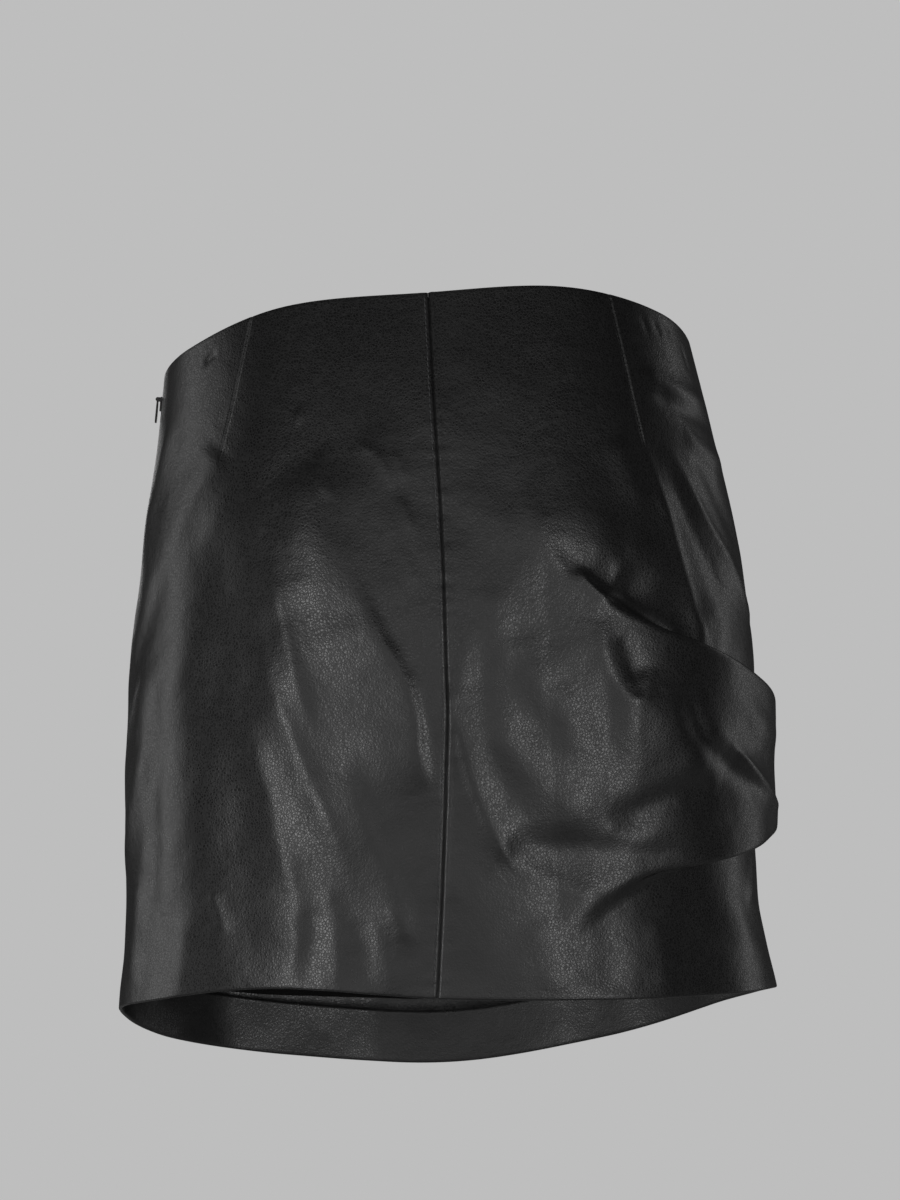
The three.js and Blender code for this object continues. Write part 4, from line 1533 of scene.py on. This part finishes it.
def handling() -> Tree:
    """Traces of handling: 0.55 of broad cloudy patches and 0.45 of fine smears, spread from 0 to 1."""
    nodes, given, result = new_group("Handling", {"Vector": None, "Patches": 14.0, "Smears": 90.0}, ("Mask",))
    patches = nodes.noise(given.outputs["Vector"], given.outputs["Patches"], 3.0, 0.6)
    smears = nodes.noise(given.outputs["Vector"], given.outputs["Smears"], 5.0, 0.65)
    mask = nodes.maths("MULTIPLY_ADD", smears, 0.45, nodes.maths("MULTIPLY", patches, 0.55))
    nodes.link(nodes.span(mask, 0.35, 0.65, 0.0, 1.0), result.inputs["Mask"])
    return nodes.tree


class Groups:
    """The shared node groups, each built once."""

    def __init__(self) -> None:
        """Builds the groups."""
        self.grain = hide_grain()
        self.handling = handling()


def new_material(name: str) -> tuple[Material, Nodes, Node, Socket]:
    """Starts a material with a Principled BSDF and Object coordinates.

    Args:
        name: the material's name.

    Returns:
        The material, its nodes, the shader and the coordinates' socket.
    """
    material = bpy.data.materials.new(name)
    material.use_nodes = True
    nodes = Nodes(material.node_tree)
    shader = material.node_tree.nodes["Principled BSDF"]
    place = material.node_tree.nodes.new("ShaderNodeTexCoord")
    return material, nodes, shader, place.outputs["Object"]


def tint(nodes: Nodes, mask: Socket, first: Triple, second: Triple) -> Socket:
    """Adds a Mix node between two colours.

    Args:
        nodes: where it goes.
        mask: the share of the second colour.
        first: the first colour.
        second: the second colour.

    Returns:
        Its output.
    """
    mix = nodes.tree.nodes.new("ShaderNodeMix")
    mix.data_type = "RGBA"
    nodes.link(mask, mix.inputs["Factor"])
    mix.inputs["A"].default_value = (*first, 1)
    mix.inputs["B"].default_value = (*second, 1)
    return mix.outputs["Result"]


def bump(nodes: Nodes, height: Socket, depth: float, strength: float, below: Socket | None = None) -> Socket:
    """Adds a Bump node.

    Args:
        nodes: where it goes.
        height: the height that it reads.
        depth: the depth in metres of a height of 1.
        strength: its strength.
        below: the normal that it starts from, if there is one.

    Returns:
        The new normal.
    """
    node = nodes.tree.nodes.new("ShaderNodeBump")
    nodes.link(height, node.inputs["Height"])
    node.inputs["Distance"].default_value = depth
    node.inputs["Strength"].default_value = strength
    if below is not None:
        nodes.link(below, node.inputs["Normal"])
    return node.outputs["Normal"]


@dataclass(frozen=True)
class GlazedLeather:
    """Outer face: black lamb leather with a fine grain and a soft glaze."""

    name: str = "Black lamb leather"
    dark: Triple = (0.0034, 0.0034, 0.0036)
    light: Triple = (0.0075, 0.0073, 0.0073)
    roughness: float = 0.29
    specular: float = 0.6
    worn_gloss: float = 0.06
    valley_gloss: float = 0.2
    grain_depth: float = 0.000052
    soft_relief: Pair = (0.0009, 0.3)

    def material(self, groups: Groups) -> Material:
        """Builds the material: the tone moves the colour, handling and valleys the gloss, and grain the bump.

        Args:
            groups: the shared node groups.

        Returns:
            The material.
        """
        material, nodes, shader, place = new_material(self.name)
        grain = nodes.group(groups.grain, Vector=place, Pebbles=650.0, Creases=180.0)
        worn = nodes.group(groups.handling, Vector=place, Patches=16.0, Smears=110.0)
        nodes.link(tint(nodes, grain.outputs["Tone"], self.dark, self.light), shader.inputs["Base Color"])
        least = self.roughness - self.worn_gloss / 2
        rough = nodes.maths("MULTIPLY_ADD", worn.outputs["Mask"], self.worn_gloss, least)
        rough = nodes.maths("MULTIPLY_ADD", grain.outputs["Valley"], self.valley_gloss, rough)
        nodes.link(rough, shader.inputs["Roughness"])
        soft = bump(nodes, nodes.noise(place, 120.0, 3.0), *self.soft_relief)
        nodes.link(bump(nodes, grain.outputs["Height"], self.grain_depth, 1.0, soft), shader.inputs["Normal"])
        shader.inputs["Specular IOR Level"].default_value = self.specular
        return material


@dataclass(frozen=True)
class FleshSide:
    """Inner face: the brushed flesh side of the leather, dyed black and matt, its colours made darker still
    as painted shade for the shadow of a body inside the skirt.
    """

    name: str = "Dyed flesh side with painted shade"
    # Painted shade: these colours are darker than the dyed leather alone, standing in for the shadow of a
    # body inside the skirt.
    dark: Triple = (0.0028, 0.0028, 0.003)
    light: Triple = (0.0065, 0.0063, 0.006)
    roughness: float = 0.92
    specular: float = 0.12
    sheen: Pair = (0.05, 0.6)
    relief: Pair = (0.0003, 0.5)

    def material(self, groups: Groups) -> Material:
        """Builds the material: short fibres as fine noise over a coarse grain, almost fully rough.

        Args:
            groups: the shared node groups.

        Returns:
            The material.
        """
        material, nodes, shader, place = new_material(self.name)
        grain = nodes.group(groups.grain, Vector=place, Pebbles=420.0, Creases=90.0)
        fibre = nodes.noise(place, 1900.0, 4.0, 0.7)
        nodes.link(tint(nodes, grain.outputs["Tone"], self.dark, self.light), shader.inputs["Base Color"])
        height = nodes.maths("ADD", fibre, grain.outputs["Height"])
        nodes.link(bump(nodes, height, *self.relief), shader.inputs["Normal"])
        shader.inputs["Roughness"].default_value = self.roughness
        shader.inputs["Specular IOR Level"].default_value = self.specular
        for name, number in zip(("Sheen Weight", "Sheen Roughness"), self.sheen):
            shader.inputs[name].default_value = number
        return material


@dataclass(frozen=True)
class WovenTape:
    """Zip tape: a close black twill."""

    name: str = "Black woven tape"
    dark: Triple = (0.008, 0.008, 0.009)
    light: Triple = (0.018, 0.018, 0.02)
    roughness: float = 0.85
    threads: float = 1500.0
    slope: float = 0.8
    warp_share: float = 0.5
    relief: Pair = (0.00012, 0.6)

    def material(self, groups: Groups) -> Material:
        """Builds the material: ribs on a slant over ribs along the tape, both sines, and fluff in the colour.

        Args:
            groups: the shared node groups.

        Returns:
            The material.
        """
        material, nodes, shader, place = new_material(self.name)
        parts = nodes.tree.nodes.new("ShaderNodeSeparateXYZ")
        nodes.link(place, parts.inputs["Vector"])
        across, along = parts.outputs["Y"], parts.outputs["Z"]
        turns = 2 * math.pi * self.threads
        slant = nodes.maths("MULTIPLY_ADD", across, self.slope, along)
        rib = nodes.maths("SINE", nodes.maths("MULTIPLY", slant, turns))
        warp = nodes.maths("SINE", nodes.maths("MULTIPLY", across, turns))
        weave = nodes.maths("MULTIPLY_ADD", warp, self.warp_share, rib)
        worn = nodes.group(groups.handling, Vector=place, Patches=30.0, Smears=500.0)
        nodes.link(tint(nodes, worn.outputs["Mask"], self.dark, self.light), shader.inputs["Base Color"])
        nodes.link(bump(nodes, weave, *self.relief), shader.inputs["Normal"])
        shader.inputs["Roughness"].default_value = self.roughness
        return material


@dataclass(frozen=True)
class Handled:
    """A finish whose colour and gloss follow traces of handling, over fine noise in the bump.

    The noise is given as scale and detail, and the relief as depth in metres and strength.
    """

    name: str
    dark: Triple
    light: Triple
    patches: float
    smears: float
    noise: Pair
    relief: Pair
    roughness: Pair
    metallic: Pair = (0.0, 0.0)

    def material(self, groups: Groups) -> Material:
        """Builds the material: the handling mask moves colour, roughness and metal between two values each.

        Args:
            groups: the shared node groups.

        Returns:
            The material.
        """
        material, nodes, shader, place = new_material(self.name)
        worn = nodes.group(groups.handling, Vector=place, Patches=self.patches, Smears=self.smears)
        mask = worn.outputs["Mask"]
        nodes.link(tint(nodes, mask, self.dark, self.light), shader.inputs["Base Color"])
        for name, (low, high) in (("Roughness", self.roughness), ("Metallic", self.metallic)):
            if low == high:
                shader.inputs[name].default_value = low
            else:
                nodes.link(nodes.span(mask, 0.0, 1.0, low, high), shader.inputs[name])
        nodes.link(bump(nodes, nodes.noise(place, *self.noise), *self.relief), shader.inputs["Normal"])
        return material


@dataclass(frozen=True)
class SewingThread(Handled):
    """Black polyester thread, its fine strands in the bump."""

    name: str = "Black sewing thread"
    dark: Triple = (0.035, 0.035, 0.037)
    light: Triple = (0.08, 0.08, 0.082)
    patches: float = 60.0
    smears: float = 400.0
    noise: Pair = (3600.0, 2.0)
    relief: Pair = (0.0001, 0.6)
    roughness: Pair = (0.5, 0.5)


@dataclass(frozen=True)
class ToothPlastic(Handled):
    """Zip teeth: moulded black plastic with faint scuffs."""

    name: str = "Black tooth plastic"
    dark: Triple = (0.006, 0.006, 0.006)
    light: Triple = (0.016, 0.016, 0.017)
    patches: float = 120.0
    smears: float = 900.0
    noise: Pair = (2500.0, 2.0)
    relief: Pair = (0.00005, 0.5)
    roughness: Pair = (0.32, 0.5)


@dataclass(frozen=True)
class LacqueredMetal(Handled):
    """Slider and pull: metal lacquered near black, smoother and thinner where fingers rub it."""

    name: str = "Dark lacquered metal"
    dark: Triple = (0.02, 0.02, 0.021)
    light: Triple = (0.07, 0.068, 0.066)
    patches: float = 140.0
    smears: float = 1100.0
    noise: Pair = (1800.0, 3.0)
    relief: Pair = (0.00005, 0.5)
    roughness: Pair = (0.42, 0.28)
    metallic: Pair = (0.75, 0.95)


# The set


@dataclass(frozen=True)
class Studio:
    """Camera, floor and lights."""

    camera_place: Triple = (0.0086, -2.6, -0.1335)
    camera_roll: float = 2.0
    lens: float = 136.5
    backdrop: float = 0.515
    ambient: float = 0.03
    floor_height: float = -0.96
    floor_radius: float = 2.6
    aim: Triple = (0.0, 0.0, -0.18)
    lights: tuple[tuple[str, Triple, Pair, float], ...] = (
        ("Left front", (-1.4, -1.95, -0.36), (0.32, 0.95), 11.0),
        ("Right front", (1.2, -2.0, -0.32), (0.32, 1.0), 8.0),
        ("Low front", (0.0, -3.2, -0.7), (2.4, 0.9), 4.9),
        ("High front", (0.0, -3.1, 0.3), (1.8, 0.8), 6.0),
        ("Left back", (-2.35, 0.35, -0.1), (1.4, 1.8), 12.0),
        ("Right back", (2.1, 0.9, -0.1), (0.6, 1.8), 4.5),
        ("Above", (0.0, -1.2, 2.2), (1.4, 0.8), 3.0),
        ("Front fill", (-0.4, 3.2, 0.5), (1.8, 1.2), 9.0),
    )

    def camera(self) -> None:
        """Sets the camera level with the seat, looking along +Y at the back of the skirt."""
        data = bpy.data.cameras.new("Camera")
        data.lens = self.lens
        data.sensor_width = 36.0
        camera = bpy.data.objects.new("Camera", data)
        camera.location = self.camera_place
        camera.rotation_euler = (math.radians(90), math.radians(self.camera_roll), 0)
        bpy.context.scene.collection.objects.link(camera)
        bpy.context.scene.camera = camera

    def floor(self) -> None:
        """A pale round floor: rings of points out to its edge."""
        turns, rings = 96, 6
        angle = np.linspace(0, 2 * np.pi, turns, endpoint=False)
        radius = np.linspace(0, self.floor_radius, rings)[1:] / MM
        ring = np.stack([np.outer(radius, np.cos(angle)), np.outer(radius, np.sin(angle))], axis=-1)
        height = np.full((*ring.shape[:2], 1), self.floor_height / MM)
        points = np.concatenate([ring, height], axis=-1).reshape(-1, 3)
        middle = np.array([[0, 0, self.floor_height / MM]])
        faces = grid_faces(rings - 1, turns, close_columns=True)[:, ::-1]
        inner = np.arange(turns)
        fan = np.stack([np.full(turns, len(points)), inner, (inner + 1) % turns], axis=1)
        surface = one_finish(np.concatenate([points, middle]), [faces, fan])
        material, nodes, shader, place = new_material("Pale floor")
        speckle = nodes.noise(place, 60.0, 3.0)
        nodes.link(tint(nodes, speckle, (0.6, 0.6, 0.6), (0.64, 0.64, 0.64)), shader.inputs["Base Color"])
        shader.inputs["Roughness"].default_value = 0.8
        floor = add_piece("Floor", surface, [material])

    def world(self) -> None:
        """A plain pale surround, which lights the skirt more weakly than it looks."""
        world = bpy.data.worlds.new("Surround")
        world.use_nodes = True
        nodes = Nodes(world.node_tree)
        shade = world.node_tree.nodes["Background"]
        path = world.node_tree.nodes.new("ShaderNodeLightPath")
        more = self.backdrop - self.ambient
        seen = nodes.maths("MULTIPLY_ADD", path.outputs["Is Camera Ray"], more, self.ambient)
        shade.inputs["Color"].default_value = (1, 1, 1, 1)
        nodes.link(seen, shade.inputs["Strength"])
        bpy.context.scene.world = world
        bpy.context.scene.view_settings.view_transform = "Standard"
        bpy.context.scene.view_settings.look = "None"

    def softbox(self, name: str, place: Triple, size: Pair, power: float) -> None:
        """A soft light that faces the skirt's middle.

        Args:
            name: the light's name.
            place: where it stands, in metres.
            size: its width and height, in metres.
            power: its power in watts.
        """
        data = bpy.data.lights.new(name, "AREA")
        data.shape = "RECTANGLE"
        data.size, data.size_y = size
        data.energy = power
        light = bpy.data.objects.new(name, data)
        light.location = place
        light.rotation_euler = (Vector(self.aim) - Vector(place)).to_track_quat("-Z", "Y").to_euler()
        light.visible_camera = False
        bpy.context.scene.collection.objects.link(light)

    def build(self) -> None:
        """Makes the whole set."""
        self.camera()
        self.world()
        self.floor()
        for light in self.lights:
            self.softbox(*light)


def main() -> None:
    """Builds the set, the finishes and each piece in order."""
    logging.basicConfig(level=logging.INFO, format="%(name)s: %(message)s")
    Studio().build()
    groups = Groups()
    leather, flesh = GlazedLeather().material(groups), FleshSide().material(groups)
    form = SkirtForm()
    panels = (
        Panel("Back_left_leather", "back_left_panel", form, (9, 66, 6, 6, 60, 9), LEFT_DART),
        Panel("Back_right_leather", "back_right_panel", form, (9, 64, 6, 6, 64, 9), RIGHT_DART),
        Panel("Front_leather", "front_panel", form, (8, 162, 8)),
    )
    for panel, held in zip(panels, ("hung", "draped", "hung")):
        panel.build([leather, flesh], held)
    Allowances(form).build(flesh, panels[0].wall)
    Topstitch(form).build(SewingThread().material(groups))
    zip_finishes = (WovenTape(), ToothPlastic(), LacqueredMetal())
    Zip(form).build(*(finish.material(groups) for finish in zip_finishes))


if __name__ == "__main__":
    main()
